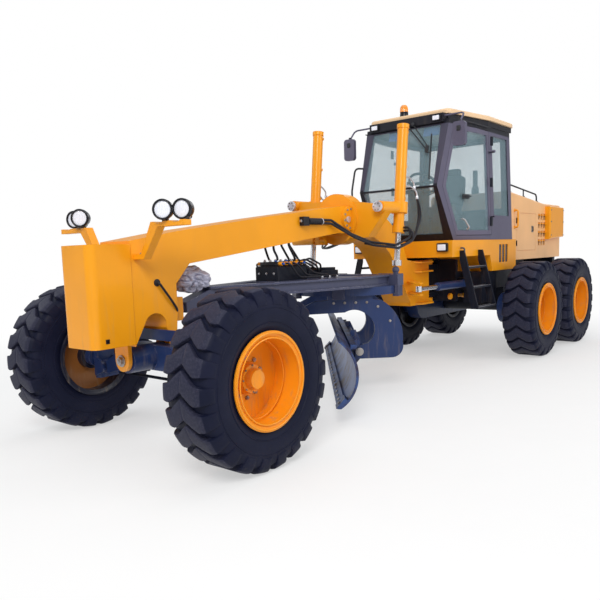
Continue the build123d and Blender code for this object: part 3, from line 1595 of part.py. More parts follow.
BEACON = (-200, FRONT_Y + 4450)
BEACON_R = 58
BEACON_TOP = 3500
with BuildPart() as cab_lamps:
    for side, sign in SIDES:
        with BuildSketch(Plane.XZ.offset(-FASCIA_Y)):
            with Locations((sign * 455, (FASCIA_LOW + ROOF_LOW) / 2)):
                RectangleRounded(120, 76, 12)
        extrude(amount=30)
        with BuildSketch(Plane.XZ.offset(-BASE_FRONT)):
            with Locations((sign * 620, 1575)):
                RectangleRounded(150, 110, 12)
        extrude(amount=60)
        with BuildSketch(Plane.XZ.offset(-(HOOD_REAR + 35))):
            with Locations((sign * 575, GRILLE[2] - 60)):
                RectangleRounded(90, 170, 12)
        extrude(amount=35)
    with BuildSketch(Plane.XY.offset(ROOF_HIGH)):
        with Locations(BEACON):
            Circle(BEACON_R + 17)
    extrude(amount=24)
    with BuildSketch(Plane.XY.offset(ROOF_HIGH)):
        with Locations(BEACON):
            Circle(BEACON_R)
    extrude(amount=BEACON_TOP - ROOF_HIGH)
    fillet(cab_lamps.edges().group_by(Axis.Z)[-1], BEACON_R / 2)
save(cab_lamps, "cab_lamps")

# Steering-joint cylinders: barrels on the rear frame, rods to the front frame
for side, sign in SIDES:
    x = sign * CYL_X
    with BuildPart() as hinge_barrel:
        with BuildSketch(Plane.XZ.offset(-(CYL_REAR - 30))):
            with Locations((x, CYL_Z)):
                Circle(CYL_R)
        extrude(amount=CYL_L)
        with BuildSketch(Plane.XY.offset(CYL_Z - LUG_GAP + GAP)):
            with Locations((x, CYL_REAR)):
                Circle(CYL_EYE_R)
        extrude(amount=2 * LUG_GAP - 2 * GAP)
        with BuildSketch(Plane.XY.offset(CYL_Z - LUG_GAP)):
            with Locations((x, CYL_REAR)):
                Circle(CYL_PIN_R + RUN_FIT)
        extrude(amount=2 * LUG_GAP, mode=Mode.SUBTRACT)
        with BuildSketch(Plane.XZ.offset(-(CYL_REAR - 70))):
            with Locations((x, CYL_Z)):
                Circle(CYL_ROD_R + RUN_FIT)
        extrude(amount=CYL_L + 20, mode=Mode.SUBTRACT)
    save(hinge_barrel, f"hinge_barrel_{side}")
    with BuildPart() as hinge_rod:
        with BuildSketch(Plane.XZ.offset(-(CYL_REAR - 300))):
            with Locations((x, CYL_Z)):
                Circle(CYL_ROD_R)
        extrude(amount=CYL_REAR - 300 - CYL_FRONT)
        with BuildSketch(Plane.XY.offset(CYL_Z - 35)):
            with Locations((x, CYL_FRONT)):
                Circle(CYL_EYE_R - 2)
                Circle(CYL_PIN_R, mode=Mode.SUBTRACT)
        extrude(amount=70)
    save(hinge_rod, f"hinge_rod_{side}")
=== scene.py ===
# Motor grader: finishes, small fittings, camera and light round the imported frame.
# Metres, in the frame of the CAD: the front faces -Y, +X is the machine's left, +Z is up.
import json
from math import cos, pi, radians, sin, tan

import bmesh
import bpy
from mathutils import Matrix, Vector, noise


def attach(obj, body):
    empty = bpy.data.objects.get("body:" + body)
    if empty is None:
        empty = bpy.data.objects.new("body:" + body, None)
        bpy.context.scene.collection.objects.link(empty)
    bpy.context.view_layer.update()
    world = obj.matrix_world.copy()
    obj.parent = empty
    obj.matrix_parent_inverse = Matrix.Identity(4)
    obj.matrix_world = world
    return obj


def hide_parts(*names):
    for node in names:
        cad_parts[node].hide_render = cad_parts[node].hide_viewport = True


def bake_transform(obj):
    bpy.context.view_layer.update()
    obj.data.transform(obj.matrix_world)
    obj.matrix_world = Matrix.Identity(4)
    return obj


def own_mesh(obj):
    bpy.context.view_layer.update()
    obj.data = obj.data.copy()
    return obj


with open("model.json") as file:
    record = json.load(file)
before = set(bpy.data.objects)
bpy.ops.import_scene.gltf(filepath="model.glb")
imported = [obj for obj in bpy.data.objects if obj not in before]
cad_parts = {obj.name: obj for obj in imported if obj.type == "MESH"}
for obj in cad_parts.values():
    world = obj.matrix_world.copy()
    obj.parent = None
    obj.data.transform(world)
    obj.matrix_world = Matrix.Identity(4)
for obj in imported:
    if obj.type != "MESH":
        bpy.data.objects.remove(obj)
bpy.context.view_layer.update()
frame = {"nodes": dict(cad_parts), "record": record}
NODES = frame["nodes"]

# Places that the part's source gives
FRONT_Y = -3.850
REAR_Y = FRONT_Y + 6.520
TANDEM_PITCH = 1.538
TYRE_R = 0.670
FRONT_TRACK = 2.220
REAR_TRACK = 2.205
SIDES = (("left", 1), ("right", -1))


# Shader maths: a socket that takes part in sums and products
def maths(operation, swapped=False):
    """A method that puts one maths node after a socket."""

    def method(self, other):
        first, second = (other, self) if swapped else (self, other)
        return self.finish.node("Math", {"operation": operation}, {0: first, 1: second}).out()

    return method


class Flow:
    def __init__(self, finish, socket):
        self.finish = finish
        self.socket = socket

    __add__ = maths("ADD")
    __radd__ = maths("ADD", True)
    __sub__ = maths("SUBTRACT")
    __rsub__ = maths("SUBTRACT", True)
    __mul__ = maths("MULTIPLY")
    __rmul__ = maths("MULTIPLY", True)
    lowest = maths("MINIMUM")
    highest = maths("MAXIMUM")

    def ramp(self, low, high):
        """0 below low, 1 above high, smooth between."""
        span = {"interpolation_type": "SMOOTHSTEP"}
        made = self.finish.node("MapRange", span, {"Value": self, "From Min": low, "From Max": high})
        return made.out()


class Made:
    """A node that was made, and its outputs."""

    def __init__(self, finish, node):
        self.finish = finish
        self.node = node

    def out(self, name=0):
        return Flow(self.finish, self.node.outputs[name])


class Finish:
    """One material, or the world, built of nodes."""

    def __init__(self, name, kind=bpy.data.materials):
        self.material = kind.new(name)
        self.material.use_nodes = True
        self.tree = self.material.node_tree
        self.tree.nodes.clear()
        self.place = self.node("TexCoord").out("Object")

    def node(self, kind, settings=None, sockets=None):
        made = self.tree.nodes.new("ShaderNode" + kind)
        for name, value in (settings or {}).items():
            if name == "stops":
                elements = made.color_ramp.elements
                while len(elements) < len(value):
                    elements.new(0.5)
                for element, (at, colour) in zip(elements, value):
                    element.position = at
                    element.color = (*colour, 1)
            else:
                setattr(made, name, value)
        for name, value in (sockets or {}).items():
            socket = made.inputs[name]
            if isinstance(value, Flow):
                self.tree.links.new(value.socket, socket)
            elif socket.type == "RGBA":
                socket.default_value = (*value, 1)
            else:
                socket.default_value = value
        return Made(self, made)

    def noise(self, scale, detail=3, roughness=0.55, at=None):
        sockets = {"Scale": scale, "Detail": detail, "Roughness": roughness, "Vector": at or self.place}
        return self.node("TexNoise", None, sockets).out("Fac")

    def stretched(self, along):
        """The piece's own place, stretched or squeezed along each axis."""
        return self.node("Mapping", None, {"Vector": self.place, "Scale": along}).out("Vector")

    def mix(self, first, second, share):
        colour = {"data_type": "RGBA"}
        return self.node("Mix", colour, {0: share, 6: first, 7: second}).out(2)

    def part(self, vector, axis):
        return self.node("SeparateXYZ", None, {"Vector": vector}).out(axis)

    def facing(self):
        return self.node("NewGeometry").out("Normal")

    def edges(self, radius):
        """A softened normal for sharp edges, and a mask that is 1 on them."""
        soft = self.node("Bevel", {"samples": 4}, {"Radius": radius}).out("Normal")
        turn = self.node("VectorMath", {"operation": "DOT_PRODUCT"}, {0: soft, 1: self.facing()})
        return soft, (1 - turn.out("Value")).ramp(0.02, 0.25)

    def bump(self, height, distance, strength=1.0, normal=None):
        sockets = {"Height": height, "Distance": distance, "Strength": strength}
        if normal is not None:
            sockets["Normal"] = normal
        return self.node("Bump", None, sockets).out("Normal")

    def surface(self, **sockets):
        named = {name.replace("_", " "): value for name, value in sockets.items()}
        shader = self.node("BsdfPrincipled", None, named)
        self.node("OutputMaterial", None, {"Surface": shader.out("BSDF")})
        return self.material


DUST = (0.33, 0.25, 0.17)


def painted(
    name, colour, worn, roughness, dust=0.10, edge=0.35, coat=0.18, shine=0.28, second=None, where=None
):
    """Sprayed paint: cloudy shade, fine peel, dust low down and on ledges, thin wear on edges."""
    f = Finish(name)
    soft, edges = f.edges(0.006)
    cloud = f.noise(1.7, 2)
    patch = f.noise(11, 4, 0.7)
    shade = tuple(0.86 * c for c in colour)
    base = f.mix(colour, shade, cloud.ramp(0.38, 0.72) * 0.55)
    if where:
        base = f.mix(base, second, where(f))
    streak = f.noise(3.1, 5, 0.65, f.stretched((5, 5, 0.7))).ramp(0.50, 0.78)
    low = 1 - f.part(f.place, "Z").ramp(0.25, 1.6)
    ledge = f.part(f.facing(), "Z").ramp(0.6, 1.0)
    grime = (low * 0.9 + ledge * 0.35 + 0.12) * streak * dust * 4
    base = f.mix(base, DUST, grime.lowest(0.6))
    rubbed = edges * patch.ramp(0.48, 0.62) * edge
    base = f.mix(base, worn, rubbed)
    rough = roughness + patch * 0.12 + grime * 0.35
    peel = f.noise(260, 2)
    normal = f.bump(peel * 0.4 + patch * 0.15, 0.0012, 0.35, soft)
    return f.surface(
        Base_Color=base, Roughness=rough, Specular_IOR_Level=shine, Coat_Weight=coat, Coat_Roughness=0.12,
        Normal=normal
    )


def bare_steel(name, bright, dark, roughness, grain=(1, 1, 1), metallic=0.9):
    """Rolled or ground steel: a grain, stains and brighter edges."""
    f = Finish(name)
    soft, edges = f.edges(0.004)
    lines = f.noise(38, 5, 0.7, f.stretched(grain))
    stain = f.noise(6, 5, 0.6)
    base = f.mix(bright, dark, stain.ramp(0.40, 0.68))
    base = f.mix(base, bright, edges * 0.5)
    rough = roughness + stain * 0.15 + lines * 0.12
    normal = f.bump(lines, 0.0008, 0.5, soft)
    return f.surface(Base_Color=base, Metallic=metallic, Roughness=rough, Normal=normal)


def moulded(name, colour, roughness):
    """Grained plastic, rubber, cloth or sheet, paler on its edges."""
    f = Finish(name)
    soft, edges = f.edges(0.003)
    cloud = f.noise(5, 3)
    base = f.mix(colour, tuple(1.6 * c + 0.01 for c in colour), cloud.ramp(0.45, 0.75) * 0.4)
    base = f.mix(base, tuple(2.2 * c + 0.02 for c in colour), edges * 0.35)
    grain = f.node("TexVoronoi", None, {"Scale": 420, "Vector": f.place}).out("Distance")
    normal = f.bump(grain, 0.0006, 0.4, soft)
    return f.surface(
        Base_Color=base, Roughness=roughness + cloud * 0.12, Specular_IOR_Level=0.28, Normal=normal
    )


def tyre_rubber(name):
    """Rubber: lug faces paler and bluer, partly scuffing and partly a painted highlight, dust low on the tyre
    and a fine mould grain.
    """
    f = Finish(name)
    face = f.node("Attribute", {"attribute_name": "lug_face"}).out("Fac")
    cloud = f.noise(4, 4)
    scuff = f.noise(60, 4, 0.7)
    base = f.mix((0.004, 0.006, 0.022), (0.008, 0.010, 0.030), cloud.ramp(0.35, 0.7))
    # Lug faces paler and bluish: part scuffing, part a painted highlight where they catch the light
    base = f.mix(base, (0.060, 0.060, 0.095), face * (0.30 + scuff.ramp(0.40, 0.75) * 0.40))
    low = 1 - f.part(f.place, "Z").ramp(0.02, 0.35)
    base = f.mix(base, (0.11, 0.09, 0.08), low * scuff.ramp(0.5, 0.8) * 0.35)
    rough = 0.42 + cloud * 0.14 + scuff * 0.10
    normal = f.bump(scuff * 0.5 + f.noise(220, 2) * 0.5, 0.0016, 0.5)
    return f.surface(Base_Color=base, Roughness=rough, Specular_IOR_Level=0.16, Normal=normal)


def window_glass(name, tint, alpha):
    """Tinted pane with faint patches of dust; its pale, partly opaque face is in part a painted sky
    reflection.
    """
    f = Finish(name)
    dust = f.noise(14, 5, 0.7).ramp(0.45, 0.85)
    shade = f.mix(tint, (0.50, 0.52, 0.53), dust * 0.12)
    return f.surface(
        Base_Color=shade, Roughness=0.04 + dust * 0.06, Alpha=alpha + dust * 0.04, IOR=1.45, Coat_Weight=0.5
    )


def lamp_glass(name, tint, glow):
    """Fluted lamp lens that glows a little."""
    f = Finish(name)
    wave = {"Scale": 30, "Distortion": 0.0, "Vector": f.place}
    flutes = f.node("TexWave", {"wave_profile": "SIN"}, wave).out("Fac")
    cloud = f.noise(25, 2)
    base = f.mix(tint, tuple(0.7 * c for c in tint), flutes * 0.35 + cloud * 0.2)
    normal = f.bump(flutes, 0.002, 0.6)
    return f.surface(
        Base_Color=base, Roughness=0.08 + cloud * 0.08, Emission_Color=base, Emission_Strength=glow,
        Coat_Weight=0.8, Normal=normal
    )


# Where a wheel's rim turns its back and a painted shade darkens it, the header's lower edge, and where the
# posts turn dark, partly as painted shade
RIM_BACK = 1.045
HEADER_LOW = 3.095
CAB_KINK_Z = 2.360


def rim_back_painted_shade(f):
    """1 on the side of a rim that faces the machine, where a painted shade darkens it."""
    across = f.part(f.place, "X")
    return 1 - across.highest(0 - across).ramp(RIM_BACK - 0.01, RIM_BACK + 0.01)


def cab_header_and_painted_shade(f):
    """1 on the header, which is black paint, and on low faces that look ahead, and about half on high ones;
    on those faces the dark is a painted shade.
    """
    header = f.part(f.place, "Z").ramp(HEADER_LOW, HEADER_LOW + 0.02)
    # Faces that look ahead are darkened as a painted shade
    ahead = (0 - f.part(f.facing(), "Y")).ramp(0.55, 0.75)
    under = 1 - f.part(f.place, "Z").ramp(CAB_KINK_Z - 0.01, CAB_KINK_Z + 0.01)
    return header.highest(ahead * (0.45 + under * 0.55))


BODY_ORANGE = painted("body_orange", (0.95, 0.370, 0.008), (0.45, 0.16, 0.03), 0.30)
# The hood's orange is paler than the body's: painted light, where the hood's sides catch more light
HOOD_LIT_ORANGE = painted("hood_orange_painted_light", (0.97, 0.540, 0.240), (0.50, 0.26, 0.10), 0.32)
ROOF_CREAM = painted("roof_cream", (0.90, 0.62, 0.37), (0.45, 0.33, 0.22), 0.38, edge=0.2)
RIM_ORANGE = painted(
    "rim_orange", (0.93, 0.330, 0.010), (0.35, 0.12, 0.03), 0.34, dust=0.12,
    # The rim's inner side is near-black navy: a painted shade
    second=(0.010, 0.012, 0.028), where=rim_back_painted_shade
)
GEAR_NAVY = painted("gear_navy", (0.016, 0.036, 0.125), (0.26, 0.25, 0.29), 0.34, dust=0.08, edge=0.9)
DRAWBAR_GREY = painted("drawbar_grey", (0.062, 0.068, 0.125), (0.55, 0.54, 0.62), 0.36, dust=0.06, edge=1.0)
FRAME_BLACK = painted(
    "frame_black", (0.007, 0.009, 0.018), (0.12, 0.12, 0.13), 0.42, dust=0.05, edge=0.6, coat=0.08, shine=0.18
)
CAB_GREY = painted("cab_grey", (0.125, 0.115, 0.175), (0.28, 0.27, 0.32), 0.40, edge=0.3)
CAB_POSTS = painted(
    "cab_posts", (0.110, 0.102, 0.158), (0.28, 0.27, 0.32), 0.40, edge=0.3, coat=0.1,
    # The black header is the cab's own paint; the dark on faces that look ahead is a painted shade
    second=(0.009, 0.009, 0.016), where=cab_header_and_painted_shade
)
LAMP_BLACK = painted("lamp_black", (0.008, 0.009, 0.014), (0.10, 0.10, 0.11), 0.22, dust=0.04)
ENGINE_GREY = painted("engine_grey", (0.14, 0.14, 0.15), (0.30, 0.29, 0.28), 0.55, coat=0.0)
# Blade: the blue tone and bluer edges are a painted reflection of sky light; the brown patches are rust
# stains
BLADE_STEEL_AND_GLINT = bare_steel("blade_steel_and_glint", (0.055, 0.100, 0.260), (0.055, 0.030, 0.024), 0.24, metallic=0.75)
ROD_CHROME = bare_steel("rod_chrome", (0.80, 0.80, 0.83), (0.58, 0.58, 0.62), 0.10, (1, 1, 9), 1.0)
BOLT_STEEL = bare_steel("bolt_steel", (0.45, 0.42, 0.40), (0.22, 0.18, 0.16), 0.36)
CAB_PLASTIC = moulded("cab_plastic", (0.030, 0.031, 0.036), 0.50)
SEAT_CLOTH = moulded("seat_cloth", (0.040, 0.042, 0.050), 0.85)
TYRE_RUBBER = tyre_rubber("tyre_rubber")
# The pale blue share of the pane is the glass's tint and partly a painted reflection of the sky
WINDOW_GLASS = window_glass("window_glass", (0.37, 0.55, 0.62), 0.24)
LAMP_WHITE = lamp_glass("lamp_white", (0.80, 0.82, 0.90), 0.25)
BEACON_AMBER = lamp_glass("beacon_amber", (0.90, 0.30, 0.02), 0.15)
TAIL_RED = lamp_glass("tail_red", (0.55, 0.02, 0.02), 0.05)
MIRROR_FACE = bare_steel("mirror_face", (0.86, 0.88, 0.92), (0.82, 0.84, 0.88), 0.03, metallic=1.0)
PALE_CAP = bare_steel("pale_cap", (0.78, 0.76, 0.82), (0.50, 0.46, 0.50), 0.26, metallic=0.6)
FITTING_STEEL = bare_steel("fitting_steel", (0.66, 0.66, 0.70), (0.40, 0.38, 0.40), 0.24)
GEAR_STEEL = bare_steel("gear_steel", (0.40, 0.38, 0.38), (0.14, 0.11, 0.10), 0.32)
FITTING_BLUE = painted("fitting_blue", (0.020, 0.090, 0.420), (0.20, 0.22, 0.30), 0.35, dust=0.05)
VISOR_BLUE = painted("visor_blue", (0.020, 0.085, 0.380), (0.10, 0.11, 0.14), 0.30, dust=0.03)
HOSE_RUBBER = moulded("hose_rubber", (0.014, 0.014, 0.020), 0.36)
COVER_SHEET = moulded("cover_sheet", (0.46, 0.46, 0.58), 0.20)
MIRROR_GREY = moulded("mirror_grey", (0.110, 0.102, 0.155), 0.34)
VENT_SLATE = painted("vent_slate", (0.075, 0.085, 0.115), (0.20, 0.21, 0.24), 0.45, dust=0.05)
# Also used for the dark plates behind the hood's louvres, as a painted shade
LINING_BROWN = moulded("lining_brown", (0.052, 0.030, 0.020), 0.70)

FINISHES = {
    "body_yellow": BODY_ORANGE,
    "hood_cream": HOOD_LIT_ORANGE,
    "gear_navy": GEAR_NAVY,
    "frame_black": FRAME_BLACK,
    "worn_blade": BLADE_STEEL_AND_GLINT,
    "rod_chrome": ROD_CHROME,
    "tyre_rubber": TYRE_RUBBER,
    "rim_yellow": RIM_ORANGE,
    "cab_grey": CAB_GREY,
    "roof_cream": ROOF_CREAM,
    "window_glass": WINDOW_GLASS,
    "lamp_glass": LAMP_WHITE,
    "cab_plastic": CAB_PLASTIC,
    "seat_cloth": SEAT_CLOTH,
    "engine_grey": ENGINE_GREY,
    "hose_rubber": HOSE_RUBBER,
    "bare_gear": GEAR_STEEL,
}
for part in frame["record"]["subparts"]:
    node = NODES[part["node"]]
    node.data.materials.clear()
    node.data.materials.append(FINISHES[part["material_slot"]])
# Pieces whose finish isn't their slot's own
DRESSED = (
    ("rear_frame", FRAME_BLACK), ("rear_shroud", BODY_ORANGE), ("cab_frame", CAB_POSTS),
    ("drawbar", DRAWBAR_GREY), ("mirrors", MIRROR_GREY)
)
for name, finish in DRESSED:
    NODES[name].data.materials[0] = finish


def piece(name, bm, finish, body, smooth=True):
    """Puts a finished mesh in the scene, on the body that carries it, if one does."""
    bmesh.ops.recalc_face_normals(bm, faces=bm.faces)
    for face in bm.faces:
        face.smooth = smooth
    mesh = bpy.data.meshes.new(name)
    bm.to_mesh(mesh)
    bm.free()
    mesh.materials.append(finish)
    if smooth:
        mesh.set_sharp_from_angle(angle=radians(35))
    made = bpy.data.objects.new(name, mesh)
    bpy.context.scene.collection.objects.link(made)
    if body:
        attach(made, body)
    return made


def soften(bm, edges, offset):
    """Rounds these edges with a small bevel."""
    bmesh.ops.bevel(
        bm, geom=edges, offset=offset, offset_type="OFFSET", segments=2, profile=0.5, material=-1,
        affect="EDGES"
    )


def spun(degrees, axis):
    """The rotation by so many degrees about one axis."""
    return Matrix.Rotation(radians(degrees), 4, axis)


def on_side(sign, points):
    """Points given for the machine's left, laid on the left (1) or on the right (-1)."""
    return [(sign * x, y, z) for x, y, z in points]


def move(bm, matrix):
    """Moves a whole shape by a matrix."""
    bmesh.ops.transform(bm, verts=bm.verts, matrix=matrix)


def lathe(bm, profile, steps, closed=True):
    """Turns a list of (along X, radius) about the X axis."""
    ring = [bm.verts.new((x, 0, radius)) for x, radius in profile]
    pairs = list(zip(ring, ring[1:]))
    if closed:
        pairs.append((ring[-1], ring[0]))
    edges = [bm.edges.new(pair) for pair in pairs]
    bmesh.ops.spin(
        bm, geom=ring + edges, cent=(0, 0, 0), axis=(1, 0, 0), angle=2 * pi, steps=steps, use_merge=True
    )
    return bm


def turned(profile, steps):
    """A new round shape about the X axis, from a profile that ends on the axis."""
    bm = lathe(bmesh.new(), profile, steps, closed=False)
    bmesh.ops.remove_doubles(bm, verts=bm.verts, dist=0.0001)
    return bm


# Tyres: a turned carcass, and lugs that run from the middle over the shoulder
LUGS = 22
LUG_W = 0.150
LUG_H = 0.034
LUG_TURN = radians(37)
# Across the tyre, where a lug stops leaning and runs straight over the shoulder
STRAIGHT_X = 0.118
CARCASS_R = TYRE_R - LUG_H
TYRE_SECTION = [
    (-0.186, 0.3330), (-0.186, 0.372), (-0.196, 0.388), (-0.206, 0.402), (-0.2165, 0.450),
    (-0.2200, 0.505), (-0.2140, 0.560), (-0.2040, 0.598), (-0.180, 0.622), (-0.120, 0.634), (0.0, CARCASS_R),
]
TYRE_SECTION += [(-x, r) for x, r in reversed(TYRE_SECTION[:-1])]
# Raised rings on the side walls: radius, and how far out they stand
WALL_RIBS = ((0.424, 0.2135), (0.528, 0.2205))
# One lug seen from its side: across the tyre, and out from its axle
LUG_SIDE = [
    (-0.004, 0.600), (-0.004, 0.669), (0.150, 0.6695), (0.182, 0.660), (0.203, 0.634),
    (0.2165, 0.585), (0.2205, 0.548), (0.196, 0.540),
]


def tyre_lug():
    """One lug on the +X half, at the top of the wheel."""
    bm = bmesh.new()
    side = bm.faces.new([bm.verts.new((x, -LUG_W / 2, r)) for x, r in LUG_SIDE])
    sides = bmesh.ops.extrude_face_region(bm, geom=[side])
    moved = [v for v in sides["geom"] if isinstance(v, bmesh.types.BMVert)]
    bmesh.ops.translate(bm, verts=moved, vec=(0, LUG_W, 0))
    bmesh.ops.recalc_face_normals(bm, faces=bm.faces)
    rims = [e for e in bm.edges if all(v.co.z > 0.545 for v in e.verts)]
    soften(bm, rims, 0.009)
    along = [e for e in bm.edges if abs(e.verts[0].co.y - e.verts[1].co.y) > LUG_W / 2]
    bmesh.ops.subdivide_edges(bm, edges=along, cuts=3)
    across = [e for e in bm.edges if abs(e.verts[0].co.x - e.verts[1].co.x) > 0.12]
    bmesh.ops.subdivide_edges(bm, edges=across, cuts=6)
    for v in bm.verts:
        lean = -tan(LUG_TURN) * min(max(v.co.x, -0.02), STRAIGHT_X)
        narrow = 1 - 0.20 * max(0.0, v.co.x - 0.06) / 0.14
        turn = (v.co.y * narrow + lean) / TYRE_R
        v.co = (v.co.x, v.co.z * sin(turn), v.co.z * cos(turn))
    return bm


def add_mesh(bm, other, matrix):
    """Adds a copy of another bmesh to this one, moved by a matrix."""
    mesh = bpy.data.meshes.new("copy")
    other.to_mesh(mesh)
    mesh.transform(matrix)
    bm.from_mesh(mesh)
    bpy.data.meshes.remove(mesh)


def tyre():
    """Carcass, side-wall rings, and the lugs of both halves in phase."""
    bm = bmesh.new()
    lathe(bm, TYRE_SECTION, 128)
    for side in (-1, 1):
        for radius, proud in WALL_RIBS:
            foot, top = side * (proud - 0.006), side * (proud + 0.0005)
            across = ((foot, -0.006), (top, -0.002), (top, 0.002), (foot, 0.006))
            lathe(bm, [(x, radius + out) for x, out in across], 96)
    lug = tyre_lug()
    pitch = 2 * pi / LUGS
    for number in range(LUGS):
        add_mesh(bm, lug, Matrix.Rotation(number * pitch, 4, "X"))
        turned = Matrix.Rotation(number * pitch, 4, "X") @ Matrix.Scale(-1, 4, (1, 0, 0))
        add_mesh(bm, lug, turned)
    lug.free()
    return bm


WHEELS = [
    (f"{row}_{side}", sign, sign * track / 2, y)
    for side, sign in SIDES
    for row, track, y in (
        ("front", FRONT_TRACK, FRONT_Y),
        ("middle", REAR_TRACK, REAR_Y - TANDEM_PITCH / 2),
        ("rear", REAR_TRACK, REAR_Y + TANDEM_PITCH / 2),
    )
]


def set_on_wheel(bm, sign, x, y):
    """Moves fittings made on a left wheel's axis to the wheel at x, y, facing outwards."""
    facing = Matrix.Translation((x, y, TYRE_R)) @ Matrix.Rotation(0 if sign > 0 else pi, 4, "Z")
    move(bm, facing)


# The rubber's look needs a mark on the lugs' outer faces
LUG_FACE_R = 0.655
pattern = tyre()
face = pattern.verts.layers.float.new("lug_face")
for v in pattern.verts:
    v[face] = 1.0 if Vector((v.co.y, v.co.z)).length > LUG_FACE_R else 0.0
for name, sign, x, y in WHEELS:
    bm = pattern.copy()
    bmesh.ops.translate(bm, verts=bm.verts, vec=(x, y, TYRE_R))
    made = piece(f"tyre_tread_{name}", bm, TYRE_RUBBER, f"wheel_{name}")
    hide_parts(f"tyre_{name}")
pattern.free()

# Wheel nuts on the disc, and the ring of screws on the hub cap
# Radius of the ring, place along the axle, radius and height of each nut, how many
NUT_RINGS = ((0.150, -0.052, 0.017, 0.016, 10), (0.100, 0.020, 0.0075, 0.007, 8))
for name, sign, x, y in WHEELS:
    bm = bmesh.new()
    for ring_r, at, radius, height, count in NUT_RINGS:
        for number in range(count):
            turn = Matrix.Rotation(number * 2 * pi / count, 4, "X")
            spot = Matrix.Translation((at + height / 2, 0, ring_r)) @ Matrix.Rotation(pi / 2, 4, "Y")
            bmesh.ops.create_cone(
                bm, cap_ends=True, segments=6, radius1=radius, radius2=radius * 0.94, depth=height,
                matrix=turn @ spot
            )
            bmesh.ops.create_cone(
                bm, cap_ends=True, segments=12, radius1=radius * 0.5, radius2=radius * 0.42,
                depth=height * 1.9, matrix=turn @ spot
            )
    set_on_wheel(bm, sign, x, y)
    piece(f"wheel_nuts_{name}", bm, BOLT_STEEL, f"wheel_{name}", smooth=False)


# Tools for the small fittings
def rounded(points, bend, steps=5):
    """The same route with each corner turned into a smooth bend."""
    points = [Vector(point) for point in points]
    route = [points[0]]
    for before, corner, after in zip(points, points[1:], points[2:]):
        reach = min(bend, (before - corner).length * 0.48, (after - corner).length * 0.48)
        come = corner + (before - corner).normalized() * reach
        leave = corner + (after - corner).normalized() * reach
        for step in range(steps + 1):
            share = step / steps
            route.append(come.lerp(corner, share).lerp(corner.lerp(leave, share), share))
    route.append(points[-1])
    return route


def tube(bm, points, radius, bend=0.03, sides=2):
    """Adds a round bar, line or hose through these points."""
    curve = bpy.data.curves.new("tube", "CURVE")
    curve.dimensions = "3D"
    curve.bevel_depth = radius
    curve.bevel_resolution = sides
    curve.use_fill_caps = True
    route = rounded(points, bend)
    spline = curve.splines.new("POLY")
    spline.points.add(len(route) - 1)
    for knot, place in zip(spline.points, route):
        knot.co = (*place, 1)
    holder = bpy.data.objects.new("tube", curve)
    mesh = bpy.data.meshes.new_from_object(holder)
    bm.from_mesh(mesh)
    bpy.data.meshes.remove(mesh)
    bpy.data.objects.remove(holder)
    bpy.data.curves.remove(curve)


def turned_to(axis):
    """The rotation that lays a shape's own Z along an axis."""
    return Vector(axis).to_track_quat("Z", "Y").to_matrix().to_4x4()


def block(bm, centre, size, soft=0.004, turn=None):
    """Adds a box with softened edges."""
    place = Matrix.Translation(centre) @ (turn or Matrix.Identity(4)) @ Matrix.Diagonal((*size, 1))
    made = bmesh.ops.create_cube(bm, size=1, matrix=place)
    edges = list({edge for vert in made["verts"] for edge in vert.link_edges})
    soften(bm, edges, soft)


def disc(bm, centre, axis, radius, height, sides=28, soft=0.002, top=None):
    """Adds a short bar or disc, its middle at centre, with softened rims."""
    place = Matrix.Translation(centre) @ turned_to(axis)
    made = bmesh.ops.create_cone(
        bm, cap_ends=True, segments=sides, radius1=radius, radius2=radius if top is None else top,
        depth=height, matrix=place
    )
    along = Vector(axis).normalized()
    edges = {edge for vert in made["verts"] for edge in vert.link_edges}
    rims = [e for e in edges if abs((e.verts[0].co - e.verts[1].co).normalized().dot(along)) < 0.5]
    soften(bm, rims, soft)


def bolt(bm, place, axis, across=0.022):
    """Adds a hexagon head on its washer, standing on place."""
    along = Vector(axis).normalized()
    disc(bm, Vector(place) + along * across * 0.08, axis, across * 0.78, across * 0.16, 20, 0.0006)
    disc(bm, Vector(place) + along * across * 0.42, axis, across * 0.56, across * 0.52, 6, 0.0014)


# Lamps: headlamps, cab lamps with their housings, tail lamps and beacon
HOOD_REAR = FRONT_Y + 8.240
BASE_FRONT = FRONT_Y + 3.970
LAMP_Z = 1.914
BEACON = (-0.200, FRONT_Y + 4.450)
ROOF_TOP = 3.302
TAIL_X = 0.575
# Middle and size of the roof's and the base's lamps
CAB_LAMPS = (
    ((0.455, FRONT_Y + 4.110, 3.184), (0.120, 0.030, 0.076)),
    ((0.620, BASE_FRONT - 0.030, 1.575), (0.150, 0.060, 0.110)),
)
# The front of each headlamp, and how far it looks round to the machine's left, in radians
HEADLAMPS = (
    (0.625, FRONT_Y - 0.338, 0.60), (0.738, FRONT_Y - 0.255, 0.38),
    (-0.470, FRONT_Y - 0.338, 0.62), (-0.690, FRONT_Y - 0.262, 0.34),
)
BOWL = [
    (-0.132, 0.0), (-0.132, 0.018), (-0.112, 0.042), (-0.072, 0.066), (-0.030, 0.0745), (0.000, 0.076),
    (0.006, 0.0745), (0.007, 0.068), (0.000, 0.0615), (-0.016, 0.058), (-0.016, 0.0),
]
DOME = [
    (0.0, 0.0), (0.0, 0.057), (0.050, 0.055), (0.074, 0.047), (0.092, 0.030), (0.099, 0.012), (0.100, 0.0),
]
LENS_RING = [(0.006, 0.0605), (0.0095, 0.064), (0.0095, 0.069), (0.006, 0.0725)]
LENS = [(0.0035, 0.0), (0.003, 0.025), (0.000, 0.048), (-0.004, 0.0605), (-0.012, 0.0605), (-0.012, 0.0)]


